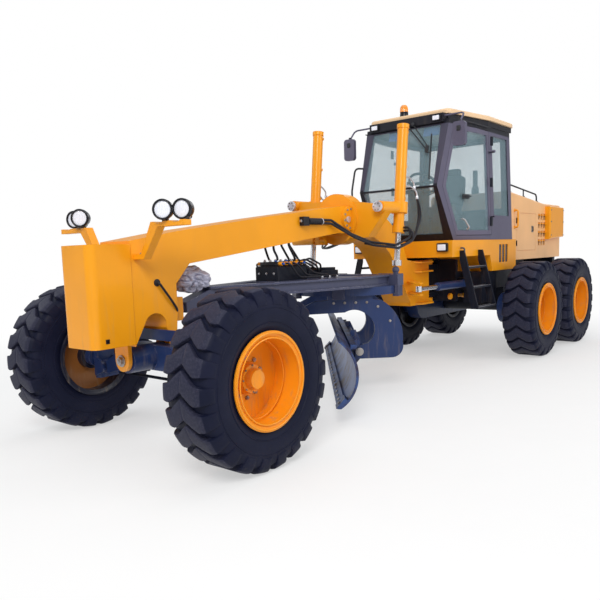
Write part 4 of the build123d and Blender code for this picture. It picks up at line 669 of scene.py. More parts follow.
def headlamps():
    bowls = bmesh.new()
    lenses = bmesh.new()
    rims = bmesh.new()
    for x, y, away in HEADLAMPS:
        place = Matrix.Translation((x, y, LAMP_Z)) @ Matrix.Rotation(away - pi / 2, 4, "Z")
        for bm, profile in ((bowls, BOWL), (lenses, LENS)):
            shape = turned(profile, 48)
            add_mesh(bm, shape, place)
            shape.free()
        ring = lathe(bmesh.new(), LENS_RING, 48)
        add_mesh(rims, ring, place)
        ring.free()
        foot = place @ Vector((-0.060, 0, -0.070))
        tube(bowls, [foot, (foot.x, foot.y, 1.833)], 0.013)
        disc(bowls, (foot.x, foot.y, 1.839), (0, 0, 1), 0.026, 0.010, 24)
        tail = [place @ Vector(at) for at in ((-0.128, 0, 0), (-0.150, 0, -0.004), (-0.150, 0, -0.060))]
        tube(bowls, tail + [(foot.x, foot.y, 1.845)], 0.0045, 0.02)
    made = piece("headlamp_bowls", bowls, LAMP_BLACK, "front_frame")
    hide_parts("headlamps")
    made = piece("headlamp_glass", lenses, LAMP_WHITE, "front_frame")
    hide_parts("headlamp_lenses")
    piece("headlamp_rims", rims, LAMP_BLACK, "front_frame")


def cab_lamps():
    faces = bmesh.new()
    cases = bmesh.new()
    for sign in (1, -1):
        for (x, y, z), (wide, deep, high) in CAB_LAMPS:
            block(faces, (sign * x, y - deep * 0.30, z), (wide * 0.74, deep * 0.36, high * 0.68), 0.007)
            block(cases, (sign * x, y + 0.003, z), (wide, deep - 0.008, high), min(deep * 0.3, 0.016))
    made = piece("cab_lamp_lenses", faces, LAMP_WHITE, "rear")
    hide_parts("cab_lamps")
    tails = bmesh.new()
    for sign in (1, -1):
        block(cases, (sign * TAIL_X, HOOD_REAR + 0.014, 2.050), (0.090, 0.028, 0.170), 0.008)
        for row, tall in ((2.087, 0.072), (2.010, 0.062)):
            block(tails, (sign * TAIL_X, HOOD_REAR + 0.026, row), (0.074, 0.016, tall), 0.005)
    disc(cases, (*BEACON, ROOF_TOP + 0.006), (0, 0, 1), 0.074, 0.012, 40, 0.004)
    disc(cases, (*BEACON, ROOF_TOP + 0.050), (0, 0, 1), 0.060, 0.096, 40, 0.006, 0.054)
    piece("cab_lamp_housings", cases, LAMP_BLACK, "rear")
    piece("tail_lamp_lenses", tails, TAIL_RED, "rear")
    dome = turned(DOME, 40)
    upright = Matrix.Translation((*BEACON, ROOF_TOP + 0.098)) @ Matrix.Rotation(-pi / 2, 4, "Y")
    move(dome, upright)
    piece("beacon_dome", dome, BEACON_AMBER, "rear")


headlamps()
cab_lamps()

# Cab: mirror faces, wiper, rain strips, rail at the front right post, and the doors' fittings
MIRROR = (0.810, FRONT_Y + 4.060, 2.935)
CAB_KINK = (FRONT_Y + 3.900, 2.330)
CAB_TOP = (FRONT_Y + 4.170, 3.170)
CAB_FOOT = (FRONT_Y + 4.240, 1.660)
DOOR_HANDLE = (0.742, FRONT_Y + 4.47, 2.215)
DOOR_LEVER = (0.655, FRONT_Y + 4.395)
HINGE_ZS = (2.960, 2.420, 1.900)


def glass_y(z, proud=0.0):
    """Y of the cab's front at a height, moved ahead of it by proud."""
    low, high = (CAB_KINK, CAB_TOP) if z > CAB_KINK[1] else (CAB_FOOT, CAB_KINK)
    share = (z - low[1]) / (high[1] - low[1])
    return low[0] + (high[0] - low[0]) * share - proud


def cab_trim():
    glass = bmesh.new()
    black = bmesh.new()
    for sign in (1, -1):
        x, y, z = MIRROR
        block(glass, (sign * x, y + 0.003, z), (0.140, 0.006, 0.256), 0.0025)
        block(black, (sign * x, y - 0.060, z + 0.06), (0.050, 0.020, 0.060), 0.008)
        disc(black, (sign * x, y - 0.024, z + 0.150), (0, 0, 1), 0.017, 0.030, 20)
    piece("mirror_faces", glass, MIRROR_FACE, "rear")
    # Wiper: two long arms from the header to a link, and its blade
    for number, (x0, x1, z1) in enumerate(((0.045, 0.372, 2.800), (0.130, 0.402, 2.815))):
        top = Vector((x0, glass_y(3.140, 0.040), 3.140))
        low = Vector((x1, glass_y(z1, 0.046), z1))
        tube(black, [top, low], 0.0085 - 0.002 * number, 0.01)
        disc(black, top + Vector((0, -0.006, 0.008)), (0, -1, 0.3), 0.020, 0.040, 24)
    knee = Vector((0.396, glass_y(2.755, 0.046), 2.755))
    lean = spun(12, "Y")
    block(black, knee + Vector((-0.006, 0, 0.045)), (0.050, 0.014, 0.090), 0.005, lean)
    blade_top = Vector((0.405, glass_y(2.99, 0.030), 2.990))
    blade_low = Vector((0.462, glass_y(2.42, 0.030), 2.422))
    tube(black, [knee, blade_top.lerp(blade_low, 0.42)], 0.006)
    tube(black, [blade_top, blade_low], 0.0075, 0.01)
    tube(black, [blade_top + Vector((0, 0.012, 0)), blade_low + Vector((0, 0.012, 0))], 0.0045, 0.01)
    # Rail on the front right post: how far out from it, height, and how proud of the glass
    post = -0.585
    rail = ((0, 2.66, -0.01), (0.05, 2.66, 0.11), (0.05, 2.33, 0.10), (0.05, 1.86, 0.22), (0, 1.86, -0.01))
    tube(black, [(post - out, glass_y(z, proud), z) for out, z, proud in rail], 0.0125, 0.07)
    # Rain strip over each door
    strip = [(0.700, FRONT_Y + 4.26, 3.150), (0.722, FRONT_Y + 5.12, 3.150)]
    for sign in (1, -1):
        tube(black, on_side(sign, strip), 0.008, 0.01)
    piece("cab_trim", black, CAB_PLASTIC, "rear")


def door_fittings(side, sign):
    """Handle, lever and the leaves of the hinges, which all swing with the door."""
    bm = bmesh.new()
    x, y, z = DOOR_HANDLE
    plate = spun(sign * -13.0, "Z")
    block(bm, (sign * (x - 0.060), y, z), (0.024, 0.130, 0.060), 0.008, plate)
    low, high = y - 0.045, y + 0.045
    grip = [(x - 0.050, low, z), (x - 0.015, low, z), (x - 0.003, high, z), (x - 0.040, high, z)]
    tube(bm, on_side(sign, grip), 0.0075, 0.02)
    piece(f"door_handle_{side}", bm, CAB_PLASTIC, f"door_{side}")
    lever = bmesh.new()
    x, y = DOOR_LEVER
    arm = [(x, y, 1.930), (x + 0.045, y, 1.925), (x + 0.068, y + 0.090, 1.815), (x + 0.030, y + 0.092, 1.800)]
    tube(lever, on_side(sign, arm), 0.0105, 0.03)
    piece(f"door_lever_{side}", lever, FITTING_STEEL, f"door_{side}")
    hinges = bmesh.new()
    for z in HINGE_ZS:
        block(hinges, (sign * 0.772, FRONT_Y + 5.060, z), (0.024, 0.052, 0.120), 0.006)
    piece(f"door_hinges_{side}", hinges, FRAME_BLACK, f"door_{side}")


cab_trim()
for side, sign in SIDES:
    door_fittings(side, sign)

# Front frame: pin caps, bosses, bolts, axle pivot, sleeves round the hoses and the barrels' lines
SADDLE_Y = FRONT_Y + 2.575
# Side and height of each lift barrel's pin
YOKES = ((1, 2.030), (-1, 2.115))
LIFT_X = 0.600
BARREL_Y = FRONT_Y + 2.965
AXLE_PIN_Z = 0.754
DRUM_Z = 1.925
CAP_BOLTS_R = 0.037
DRUM_BOLTS_R = 0.104
# The sleeves' middle, and how far out their hoses' nuts sit
SLEEVE_X = 0.234
SLEEVE_Z = 1.883
HOSE_X = 0.228


def frame_pins():
    caps = bmesh.new()
    bolts = bmesh.new()
    for sign, z in YOKES:
        disc(caps, (sign * LIFT_X, SADDLE_Y - 0.056, z), (0, -1, 0), 0.056, 0.034, 40, 0.006)
        for number in range(6):
            turn = number * pi / 3
            at = (sign * LIFT_X + CAP_BOLTS_R * cos(turn), SADDLE_Y - 0.072, z + CAP_BOLTS_R * sin(turn))
            bolt(bolts, at, (0, -1, 0), 0.012)
    for sign in (1, -1):
        disc(caps, (sign * 0.238, FRONT_Y + 2.490, DRUM_Z - 0.012), (sign, 0, 0), 0.034, 0.024, 32, 0.006)
        for number in range(10):
            turn = number * pi / 5 + 0.2
            y = FRONT_Y + 2.540 + DRUM_BOLTS_R * cos(turn)
            at = (sign * 0.230, y, DRUM_Z + DRUM_BOLTS_R * sin(turn))
            if abs(turn - 0.2) > 0.1:
                bolt(bolts, at, (sign, 0, 0), 0.017)
    disc(bolts, (0, FRONT_Y - 0.341, AXLE_PIN_Z), (0, -1, 0), 0.048, 0.012, 36, 0.003)
    disc(bolts, (0, FRONT_Y - 0.356, AXLE_PIN_Z), (0, -1, 0), 0.036, 0.026, 6, 0.004)
    disc(bolts, (0, FRONT_Y - 0.371, AXLE_PIN_Z), (0, -1, 0), 0.017, 0.014, 24, 0.003)
    for sign in (1, -1):
        for y in (FRONT_Y - 0.280, FRONT_Y - 0.224):
            bolt(bolts, (sign * 0.262, y, 1.600), (0, 0, 1), 0.016)
    piece("pin_caps", caps, PALE_CAP, "front_frame")
    piece("frame_bolts", bolts, BOLT_STEEL, "front_frame", smooth=False)


def hose_sleeves():
    """Ribbed sleeve over the two hoses on each side of the beam, behind their block."""
    bm = bmesh.new()
    for sign in (1, -1):
        for number in range(17):
            y = FRONT_Y + 1.802 + number * 0.0125
            disc(bm, (sign * SLEEVE_X, y, SLEEVE_Z), (0, 1, 0), 0.0335, 0.0095, 24, 0.003)
        disc(bm, (sign * SLEEVE_X, FRONT_Y + 1.900, SLEEVE_Z), (0, 1, 0), 0.0310, 0.206, 24, 0.003)
    piece("hose_sleeves", bm, HOSE_RUBBER, "front_frame")
    steel = bmesh.new()
    for sign in (1, -1):
        for row in (SLEEVE_Z + 0.017, SLEEVE_Z - 0.017):
            disc(steel, (sign * HOSE_X, FRONT_Y + 1.796, row), (0, 1, 0), 0.0165, 0.020, 6, 0.002)
        disc(steel, (sign * SLEEVE_X, FRONT_Y + 2.012, SLEEVE_Z), (0, 1, 0), 0.036, 0.014, 28, 0.003)
        disc(steel, (sign * HOSE_X, FRONT_Y + 1.690, SLEEVE_Z), (0, 1, 0), 0.014, 0.022, 6, 0.002)
    piece("hose_nuts", steel, FITTING_STEEL, "front_frame")


def barrel_loops():
    """Behind each lift barrel, two bent tubes at its ports and hoses down to the beam; the nose's plugs."""
    hoses = bmesh.new()
    tubes = bmesh.new()
    for sign in (1, -1):
        for number in range(2):
            x = LIFT_X + 0.014 + 0.034 * number
            top = 2.375 - 0.110 * number
            # Each tube ends in a nut that its hose hangs from
            nut_x, nut_y = x + 0.022, BARREL_Y + 0.272
            port = [
                (x, BARREL_Y + 0.104 - 0.036 * number, top), (x + 0.010, BARREL_Y + 0.165, top + 0.004),
                (x + 0.020, BARREL_Y + 0.262, top - 0.050), (nut_x, nut_y, top - 0.110),
            ]
            tube(tubes, on_side(sign, port), 0.0095, 0.05)
            disc(tubes, (sign * nut_x, nut_y, top - 0.116), (0, 0, 1), 0.017, 0.034, 6, 0.002)
            near = 0.03 * number
            far = 0.04 * number
            route = [
                (nut_x, nut_y, top - 0.120), (x + 0.028, BARREL_Y + 0.340, top - 0.260),
                (x + 0.026, BARREL_Y + 0.366 - near, 1.900),
                (x + 0.010, BARREL_Y + 0.250 - near, 1.660 + 0.020 * number),
                (LIFT_X - 0.020, BARREL_Y + 0.115 - near, 1.612), (0.400, BARREL_Y - 0.020 - far, 1.606),
                (0.205, BARREL_Y - 0.080 - far, 1.650),
            ]
            tube(hoses, on_side(sign, route), 0.0125, 0.09)
    piece("barrel_hoses", hoses, HOSE_RUBBER, "front_frame")
    piece("barrel_tubes", tubes, FITTING_STEEL, "front_frame")
    marks = bmesh.new()
    for sign in (1, -1):
        block(marks, (sign * 0.206, FRONT_Y - 0.585, 0.956), (0.004, 0.034, 0.034), 0.0015)
    piece("nose_plugs", marks, LAMP_BLACK, "front_frame")


# Rims: place along the axle, radius and thickness of the bead, the lock ring and the weld
RIM_RINGS = ((0.2085, 0.3480, 0.0085), (0.2060, 0.3120, 0.0060), (0.060, 0.2920, 0.0045))
RING_TURNS = (0.0, 0.8, 1.6, 2.4, 3.1, 3.9, 4.7, 5.5)


def rim_rings():
    """Turned details of each rim: the bead on its flange, the lock ring and the weld round its disc."""
    for name, sign, x, y in WHEELS:
        bm = bmesh.new()
        for at, radius, thick in RIM_RINGS:
            lathe(bm, [(at + thick * cos(a), radius + thick * sin(a)) for a in RING_TURNS], 96)
        set_on_wheel(bm, sign, x, y)
        piece(f"rim_rings_{name}", bm, RIM_ORANGE, f"wheel_{name}")


frame_pins()
hose_sleeves()
barrel_loops()
rim_rings()

# Drawbar: fittings and lines on its valve box, lines to the drive, and the loops to the beam
RAIL_HIGH = 1.2951
VALVE = (FRONT_Y + 1.400, FRONT_Y + 1.850, RAIL_HIGH + 0.150)
PINION_Y = FRONT_Y + 2.379
# The beam's underside: its front end, its height there, and how it rises to the back
BEAM_FRONT = FRONT_Y + 0.246
BEAM_LOW = 1.511
BEAM_RISE = 0.1216
# Hoses from the beam: place across, place behind the valve box's front, and how far forward they hang
BEAM_LOOPS = (
    (0.115, 0.040, 0.050), (0.070, 0.360, 0.090), (-0.060, 0.420, 0.120), (-0.120, 0.180, 0.060),
    (0.020, 0.470, 0.140),
)


def valve_fittings():
    """Caps, plugs and lines of the valve box, low enough for the beam at full lift."""
    steel = bmesh.new()
    blue = bmesh.new()
    orange = bmesh.new()
    black = bmesh.new()
    front, rear, top = VALVE
    for number in range(5):
        y = front + 0.060 + number * 0.080
        block(black, (0.0, y, top + 0.020), (0.240, 0.052, 0.040), 0.006)
        for column, x in enumerate((-0.075, 0.0, 0.075)):
            paint = (steel, blue, steel, orange, blue)[(number + 2 * column) % 5]
            disc(paint, (x, y, top + 0.047), (0, 0, 1), 0.015, 0.018, 6, 0.002)
            disc(steel, (x, y, top + 0.058), (0, 0, 1), 0.010, 0.012, 16, 0.002)
        disc(orange, (0.140, y, top + 0.021), (1, 0, 0), 0.019, 0.046, 20, 0.004)
        disc(blue, (0.172, y, top + 0.021), (1, 0, 0), 0.012, 0.030, 16, 0.003)
        disc(orange, (-0.140, y, top + 0.021), (1, 0, 0), 0.019, 0.046, 20, 0.004)
    # Lines from the valves back to the drive and out to the frame's sides
    for number in range(6):
        x = -0.125 + number * 0.050
        lift = 0.030 + 0.012 * (number % 3)
        route = [
            (x, rear - 0.030 - 0.06 * (number % 2), top + 0.040), (x * 1.05, rear - 0.010, top + 0.040),
            (x * 1.15, rear + 0.060, top + 0.012 + lift), (x * 1.3, rear + 0.150, top + lift * 0.4),
            (x * 1.1, PINION_Y - 0.270, RAIL_HIGH + 0.090 + 0.01 * number),
            (x * 0.6, PINION_Y - 0.205, RAIL_HIGH + 0.060),
        ]
        tube(black, route, 0.0105, 0.05)
    for sign in (1, -1):
        for number in range(3):
            y = front + 0.090 + number * 0.100
            end = 0.300 + 0.02 * number
            route = [
                (0.180, y, top + 0.026), (0.235, y + 0.01, top + 0.015),
                (0.250 + 0.012 * number, y + 0.120, RAIL_HIGH + 0.030 + 0.018 * number),
                (end, y + 0.420, RAIL_HIGH + 0.020),
            ]
            tube(black, on_side(sign, route), 0.0095, 0.05)
            disc(steel, (sign * end, y + 0.425, RAIL_HIGH + 0.014), (0, 0, 1), 0.016, 0.028, 6, 0.002)
    for x in (-0.100, 0.0, 0.100):
        for y in (front - 0.001, rear + 0.001):
            bolt(steel, (x, y, RAIL_HIGH + 0.075), (0, y - front - 0.1, 0), 0.016)
    piece("valve_bodies", steel, FITTING_STEEL, "drawbar")
    piece("valve_caps_blue", blue, FITTING_BLUE, "drawbar")
    piece("valve_caps_orange", orange, BODY_ORANGE, "drawbar")
    piece("drawbar_hoses", black, HOSE_RUBBER, "drawbar")


def beam_loops():
    """Hoses that hang from under the beam to the valve box."""
    front, _, top = VALVE
    bm = bmesh.new()
    for x, back, hang in BEAM_LOOPS:
        y = front + back
        under = BEAM_LOW + (y - BEAM_FRONT) * BEAM_RISE + 0.004
        route = [
            (x, y - hang, under), (x, y - hang, under - 0.055), (x * 1.08, y - hang * 0.2, top + 0.090),
            (x * 1.02, y, top + 0.056),
        ]
        tube(bm, route, 0.0115, 0.045)
    made = piece("beam_loops", bm, HOSE_RUBBER, None)
    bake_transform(made)


def web_cover():
    """Crumpled cover behind the beam's web, over the drawbar's ball, flattened at its front."""
    bm = bmesh.new()
    bmesh.ops.create_icosphere(bm, subdivisions=6, radius=1.0)
    centre = Vector((0.0, FRONT_Y + 0.400, 1.372))
    size = Vector((0.155, 0.215, 0.122))
    for v in bm.verts:
        way = v.co.normalized()
        swell = noise.noise(way * 1.5 + Vector((4.2, 1.7, 0.4)))
        fold = 1 - abs(noise.noise(way * 2.1 + Vector((1.1, 7.3, 2.6))))
        pleat = 1 - abs(noise.noise(way * 4.3 + Vector((3.3, 0.3, 8.1))))
        reach = 1.00 + 0.16 * swell - 0.22 * fold ** 9 - 0.07 * pleat ** 8
        v.co = centre + Vector((way.x * size.x, way.y * size.y, way.z * size.z)) * min(reach, 1.06)
        v.co.y = max(v.co.y, FRONT_Y + 0.104 + max(0.0, v.co.z - 1.350) * 0.93)
    bmesh.ops.smooth_vert(bm, verts=bm.verts, factor=0.5, use_axis_x=True, use_axis_y=True, use_axis_z=True)
    made = piece("web_cover", bm, COVER_SHEET, "front_frame")
    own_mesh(made)


def web_hoses():
    """A hose out of each side of the nose and in behind the web."""
    bm = bmesh.new()
    route = [
        (0.196, FRONT_Y - 0.100, 1.370), (0.222, FRONT_Y - 0.090, 1.362), (0.226, FRONT_Y + 0.010, 1.230),
        (0.214, FRONT_Y + 0.085, 1.135), (0.150, FRONT_Y + 0.112, 1.105),
    ]
    for sign in (1, -1):
        tube(bm, on_side(sign, route), 0.0100, 0.04)
        disc(bm, (sign * 0.202, FRONT_Y - 0.100, 1.370), (sign, 0, 0), 0.030, 0.010, 28, 0.003)
    piece("web_hoses", bm, HOSE_RUBBER, "front_frame")


valve_fittings()
beam_loops()
web_cover()
web_hoses()

# Hood: louvres, latch, hinges, grab handle, rail and bolts
HOOD_FRONT = FRONT_Y + 6.020
HOOD_HALF = 0.650
LOUVRE_FRONT = HOOD_FRONT + 1.150
LOUVRE_LOW = 1.535
LOUVRE_STEPS = (0.118, 0.138)
LATCH_Y = HOOD_FRONT + 0.900
GRAB_Y = HOOD_FRONT + 0.165
GRAB_ZS = (1.840, 2.090)
# The top rail: its place across, its posts behind the hood's front, the height of its feet there, and
# how the hood falls to the back
TOP_RAIL_X = 0.600
POST_YS = (0.080, 0.640, 1.210)
RAIL_FOOT_Z = 2.373
HOOD_FALL = 0.0897


def hood_trim():
    slats = bmesh.new()
    black = bmesh.new()
    steel = bmesh.new()
    for sign in (1, -1):
        for column in range(3):
            for row in range(4):
                y = LOUVRE_FRONT + (column + 0.5) * LOUVRE_STEPS[0]
                z = LOUVRE_LOW + (row + 0.5) * LOUVRE_STEPS[1]
                tilt = spun(sign * 40, "Y")
                block(slats, (sign * (HOOD_HALF - 0.012), y, z + 0.036), (0.052, 0.090, 0.004), 0.0015, tilt)
                block(slats, (sign * (HOOD_HALF - 0.020), y, z), (0.006, 0.010, 0.094), 0.002)
        x = sign * HOOD_HALF
        block(steel, (x + sign * 0.004, LATCH_Y, 1.817), (0.008, 0.080, 0.100), 0.003)
        block(black, (x + sign * 0.012, LATCH_Y + 0.012, 1.817), (0.010, 0.016, 0.074), 0.003)
        for z in (1.848, 1.786):
            block(black, (x + sign * 0.012, LATCH_Y - 0.004, z), (0.010, 0.044, 0.012), 0.003)
        out = x + sign * 0.055
        low, high = GRAB_ZS
        grab = [(x, GRAB_Y, low), (out, GRAB_Y, low), (out, GRAB_Y, high), (x, GRAB_Y, high)]
        tube(slats, grab, 0.0125, 0.035)
        for z in GRAB_ZS:
            disc(slats, (x + sign * 0.004, GRAB_Y, z), (sign, 0, 0), 0.026, 0.008, 24)
        for z in (1.600, 1.940):
            hinge = [(x + sign * 0.009, HOOD_FRONT + 0.235, z + end) for end in (-0.040, 0.040)]
            tube(black, hinge, 0.009)
        # Rail along the hood's top edge
        front, middle, back = POST_YS
        rail = ((front, 2.340), (front, 2.470), (back, 2.372), (back, 2.230))
        stay = ((middle, 2.280), (middle, 2.421))
        tube(black, [(sign * TOP_RAIL_X, HOOD_FRONT + y, z) for y, z in rail], 0.0125, 0.07)
        tube(black, [(sign * TOP_RAIL_X, HOOD_FRONT + y, z) for y, z in stay], 0.010)
        for y in POST_YS:
            foot = (sign * TOP_RAIL_X, HOOD_FRONT + y, RAIL_FOOT_Z - HOOD_FALL * y)
            disc(black, foot, (0, 0, 1), 0.028, 0.010, 24)
        for y in (-0.70, -0.10):
            for z in (1.720, 1.940, 2.130):
                bolt(steel, (sign * 0.740, HOOD_REAR + y, z), (sign, 0, 0), 0.016)
    for x in (-0.560, 0.560):
        for z in (1.420, 1.620, 1.820):
            bolt(steel, (x, HOOD_REAR, z), (0, 1, 0), 0.016)
    block(black, (0.0, HOOD_REAR + 0.010, 2.160), (0.140, 0.020, 0.030), 0.005)
    # Dark plates behind the louvres' openings, a painted shade for the hood's inside
    shade_plates = bmesh.new()
    for sign in (1, -1):
        at = (sign * (HOOD_HALF - 0.070), LOUVRE_FRONT + 0.177, LOUVRE_LOW + 0.276)
        block(shade_plates, at, (0.004, 0.380, 0.580), 0.001)
    piece("louvre_shade_plates", shade_plates, LINING_BROWN, "rear")
    piece("louvre_slats", slats, BODY_ORANGE, "rear")
    piece("hood_fittings", black, FRAME_BLACK, "rear")
    piece("hood_bolts", steel, BOLT_STEEL, "rear")


hood_trim()

# Steps, cab base and steering joint: tread edges, studs, vents, rails, lock link and hoses
# Height of each tread, and its place across
STEP_TREADS = ((1.300, 0.8143), (1.050, 0.8789), (0.795, 0.9450))
VENT_Y = FRONT_Y + 5.560
LINK = (0.340, FRONT_Y + 4.900, 0.905)


def step_trim():
    silver = bmesh.new()
    black = bmesh.new()
    for sign in (1, -1):
        for z, x in STEP_TREADS:
            for strip in (-0.034, 0.034):
                block(silver, (sign * (x + strip), FRONT_Y + 4.450, z + 0.024), (0.012, 0.500, 0.004), 0.0015)
            for number in range(9):
                y = FRONT_Y + 4.235 + number * 0.054
                disc(black, (sign * x, y, z + 0.0235), (0, 0, 1), 0.014, 0.004, 16, 0.0015)
        block(black, (sign * 0.7235, VENT_Y, 1.465), (0.006, 0.330, 0.250), 0.002)
        for number in range(3):
            for slat in range(7):
                at = (sign * 0.728, VENT_Y + (number - 1) * 0.110, 1.367 + slat * 0.033)
                tilt = spun(sign * 35, "Y")
                block(black, at, (0.022, 0.088, 0.003), 0.001, tilt)
        # Rail beside the ladder, foot on the base
        rail = ((0.740, 4.200, 1.560), (0.800, 4.180, 1.560), (0.800, 4.180, 1.230))
        tube(black, [(sign * x, FRONT_Y + y, z) for x, y, z in rail], 0.011, 0.05)
    piece("step_edges", silver, FITTING_STEEL, "rear")
    piece("base_fittings", black, VENT_SLATE, "rear")


def joint_lines():
    """Hoses over the steering joint, and the orange link that locks it for transport."""
    bm = bmesh.new()
    for number in range(5):
        x = -0.150 + number * 0.075
        middle = 1.428 + 0.006 * (number % 2)
        route = ((4.310, 1.420), (4.420, 1.433), (4.520, middle), (4.640, 1.433), (4.780, 1.395))
        tube(bm, [(x, FRONT_Y + y, z) for y, z in route], 0.012, 0.05)
    made = piece("joint_hoses", bm, HOSE_RUBBER, None)
    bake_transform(made)
    link = bmesh.new()
    block(link, LINK, (0.030, 0.420, 0.050), 0.010)
    for end in (-0.200, 0.200):
        disc(link, (LINK[0], LINK[1] + end, LINK[2]), (1, 0, 0), 0.042, 0.034, 32, 0.004)
    piece("lock_link", link, BODY_ORANGE, "rear")


step_trim()
joint_lines()

# Cab inside: padded seat on its base, levers, pedals, lining and visors
SEAT_Y = FRONT_Y + 5.130
CAB_FLOOR = 1.705


def cushion(bm, centre, size, soft, turn=None, crown=0.018):
    """Adds a stuffed block: soft edges, a crowned face and sides that pull in."""
    pad = bmesh.new()
    bmesh.ops.create_cube(pad, size=1)
    bmesh.ops.subdivide_edges(pad, edges=pad.edges, cuts=9, use_grid_fill=True)
    wide, deep, high = size
    for v in pad.verts:
        x, y, z = v.co * 2
        bulge = (1 - x ** 4) * (1 - y ** 4)
        pinch = 1 - 0.035 * (1 - abs(z) ** 2) * (1 - abs(x * y))
        round_x = 1 - soft * y * y * 0.5
        round_y = 1 - soft * x * x * 0.5
        v.co = (
            x * wide / 2 * round_x * pinch,
            y * deep / 2 * round_y * pinch,
            z * high / 2 * (0.86 + 0.14 * (1 - x ** 6) * (1 - y ** 6)) + (crown * bulge if z > 0 else 0),
        )
    bmesh.ops.smooth_vert(pad, verts=pad.verts, factor=0.5, use_axis_x=True, use_axis_y=True, use_axis_z=True)
    place = Matrix.Translation(centre) @ (turn or Matrix.Identity(4))
    add_mesh(bm, pad, place)
    pad.free()


def seat():
    """Cushions of the seat, and the base that carries them."""
    bm = bmesh.new()
    lean = spun(-12, "X")
    cushion(bm, (0, SEAT_Y - 0.010, CAB_FLOOR + 0.370), (0.470, 0.430, 0.120), 0.10)
    upright = lean @ spun(90, "X")
    cushion(bm, (0, SEAT_Y + 0.250, CAB_FLOOR + 0.660), (0.450, 0.470, 0.100), 0.12, upright)
    cushion(bm, (0, SEAT_Y + 0.322, CAB_FLOOR + 0.930), (0.270, 0.120, 0.075), 0.10, upright, 0.010)
    for sign in (1, -1):
        low, high = CAB_FLOOR + 0.420, CAB_FLOOR + 0.650
        cushion(bm, (sign * 0.190, SEAT_Y - 0.010, low), (0.075, 0.400, 0.060), 0.10, None, 0.010)
        cushion(bm, (sign * 0.185, SEAT_Y + 0.236, high), (0.070, 0.400, 0.060), 0.10, upright, 0.010)
    made = piece("seat_cushions", bm, SEAT_CLOTH, "rear")
    made.modifiers.new("pad", "SUBSURF").levels = 1
    made.modifiers["pad"].render_levels = 1
    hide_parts("seat")
    base = bmesh.new()
    # A post, the pan on it, the folds of its bellows and the back's stem
    block(base, (0, SEAT_Y, CAB_FLOOR + 0.125), (0.300, 0.340, 0.250), 0.020)
    block(base, (0, SEAT_Y, CAB_FLOOR + 0.285), (0.430, 0.400, 0.050), 0.015)
    for number in range(7):
        block(base, (0, SEAT_Y, CAB_FLOOR + 0.060 + number * 0.026), (0.318, 0.358, 0.012), 0.005)
    tube(base, [(0, SEAT_Y + 0.200, CAB_FLOOR + 0.300), (0, SEAT_Y + 0.330, CAB_FLOOR + 0.900)], 0.020)
    piece("seat_base", base, CAB_PLASTIC, "rear")


def controls():
    """Levers with their knobs, pedals, floor lining and sun visors."""
    bm = bmesh.new()
    knobs = bmesh.new()
    y = SEAT_Y - 0.680
    for sign in (1, -1):
        for number in range(4):
            x = sign * (0.145 + 0.036 * number)
            foot = (sign * 0.105, y + 0.050, CAB_FLOOR + 0.560)
            knee = (x, y + 0.130, CAB_FLOOR + 0.610 + 0.006 * number)
            hand = (x, y + 0.165, CAB_FLOOR + 0.740 + 0.006 * number)
            tube(bm, [foot, knee, hand], 0.0055, 0.05)
            disc(knobs, Vector(hand) + Vector((0, 0.003, 0.012)), (0, 0.2, 1), 0.0135, 0.036, 20, 0.006)
        block(bm, (sign * 0.130, y - 0.060, CAB_FLOOR + 0.060), (0.080, 0.110, 0.012), 0.004, spun(28, "X"))
    block(bm, (0, y - 0.010, CAB_FLOOR + 0.620), (0.300, 0.200, 0.050), 0.018)
    piece("levers", bm, CAB_PLASTIC, "rear")
    piece("lever_knobs", knobs, LAMP_BLACK, "rear")
    visors = bmesh.new()
    for x in (-0.170, 0.345):
        at = (x, glass_y(3.05, -0.070), 3.050)
        block(visors, at, (0.230, 0.008, 0.130), 0.004, spun(-14, "X"))
    lining = bmesh.new()
    block(lining, (0.250, FRONT_Y + 4.700, CAB_FLOOR + 0.230), (0.180, 0.360, 0.440), 0.020)
    block(lining, (0, FRONT_Y + 4.560, CAB_FLOOR + 0.012), (0.900, 0.480, 0.020), 0.006)
    for number in range(9):
        block(lining, (0, FRONT_Y + 4.340 + number * 0.055, CAB_FLOOR + 0.024), (0.860, 0.014, 0.008), 0.003)
    piece("cab_lining", lining, LINING_BROWN, "rear")
    piece("sun_visors", visors, VISOR_BLUE, "rear")


seat()
controls()

# Blade and circle: bolts of the cutting edge, and bolts and pivot caps of the arms
CIRCLE_Y = FRONT_Y + 2.760
BLADE_TURN = Matrix.Translation((0, CIRCLE_Y, 0)) @ spun(-50.5, "Z")
EDGE_HALF = 1.750
EDGE_BOLTS = 22
# Where the end bits start, and how far out each arm of the circle hangs
END_BIT_X = 1.68
ARM_X = 0.500
# Bolts of each arm: along it, and their height
ARM_BOLTS = ((-0.180, 1.010), (-0.060, 1.010), (0.060, 1.010), (0.180, 1.010), (0.300, 0.960), (0.430, 0.800))


def blade_bolts():
    bm = bmesh.new()
    for number in range(EDGE_BOLTS):
        x = -EDGE_HALF + number * (2 * EDGE_HALF / (EDGE_BOLTS - 1))
        # The end bits stand proud of the cutting edge
        proud = 0.008 if abs(x) > END_BIT_X else 0.0
        at = Vector((x, -0.203 - proud, 0.1975 + proud * 0.8))
        disc(bm, at, (0, -0.70, 0.72), 0.0135, 0.010, 20, 0.003)
    move(bm, BLADE_TURN)
    piece("edge_bolts", bm, BOLT_STEEL, "moldboard")


def circle_bolts():
    bm = bmesh.new()
    for sign in (1, -1):
        for side in (1, -1):
            x = sign * (ARM_X + side * 0.036)
            disc(bm, (x + side * 0.006, 0.090, 0.470), (side, 0, 0), 0.045, 0.012, 36, 0.003)
        for y, z in ARM_BOLTS:
            for side in (1, -1):
                bolt(bm, (sign * ARM_X + side * 0.035, y, z), (side, 0, 0), 0.019)
    move(bm, BLADE_TURN)
    piece("circle_bolts", bm, BOLT_STEEL, "circle")


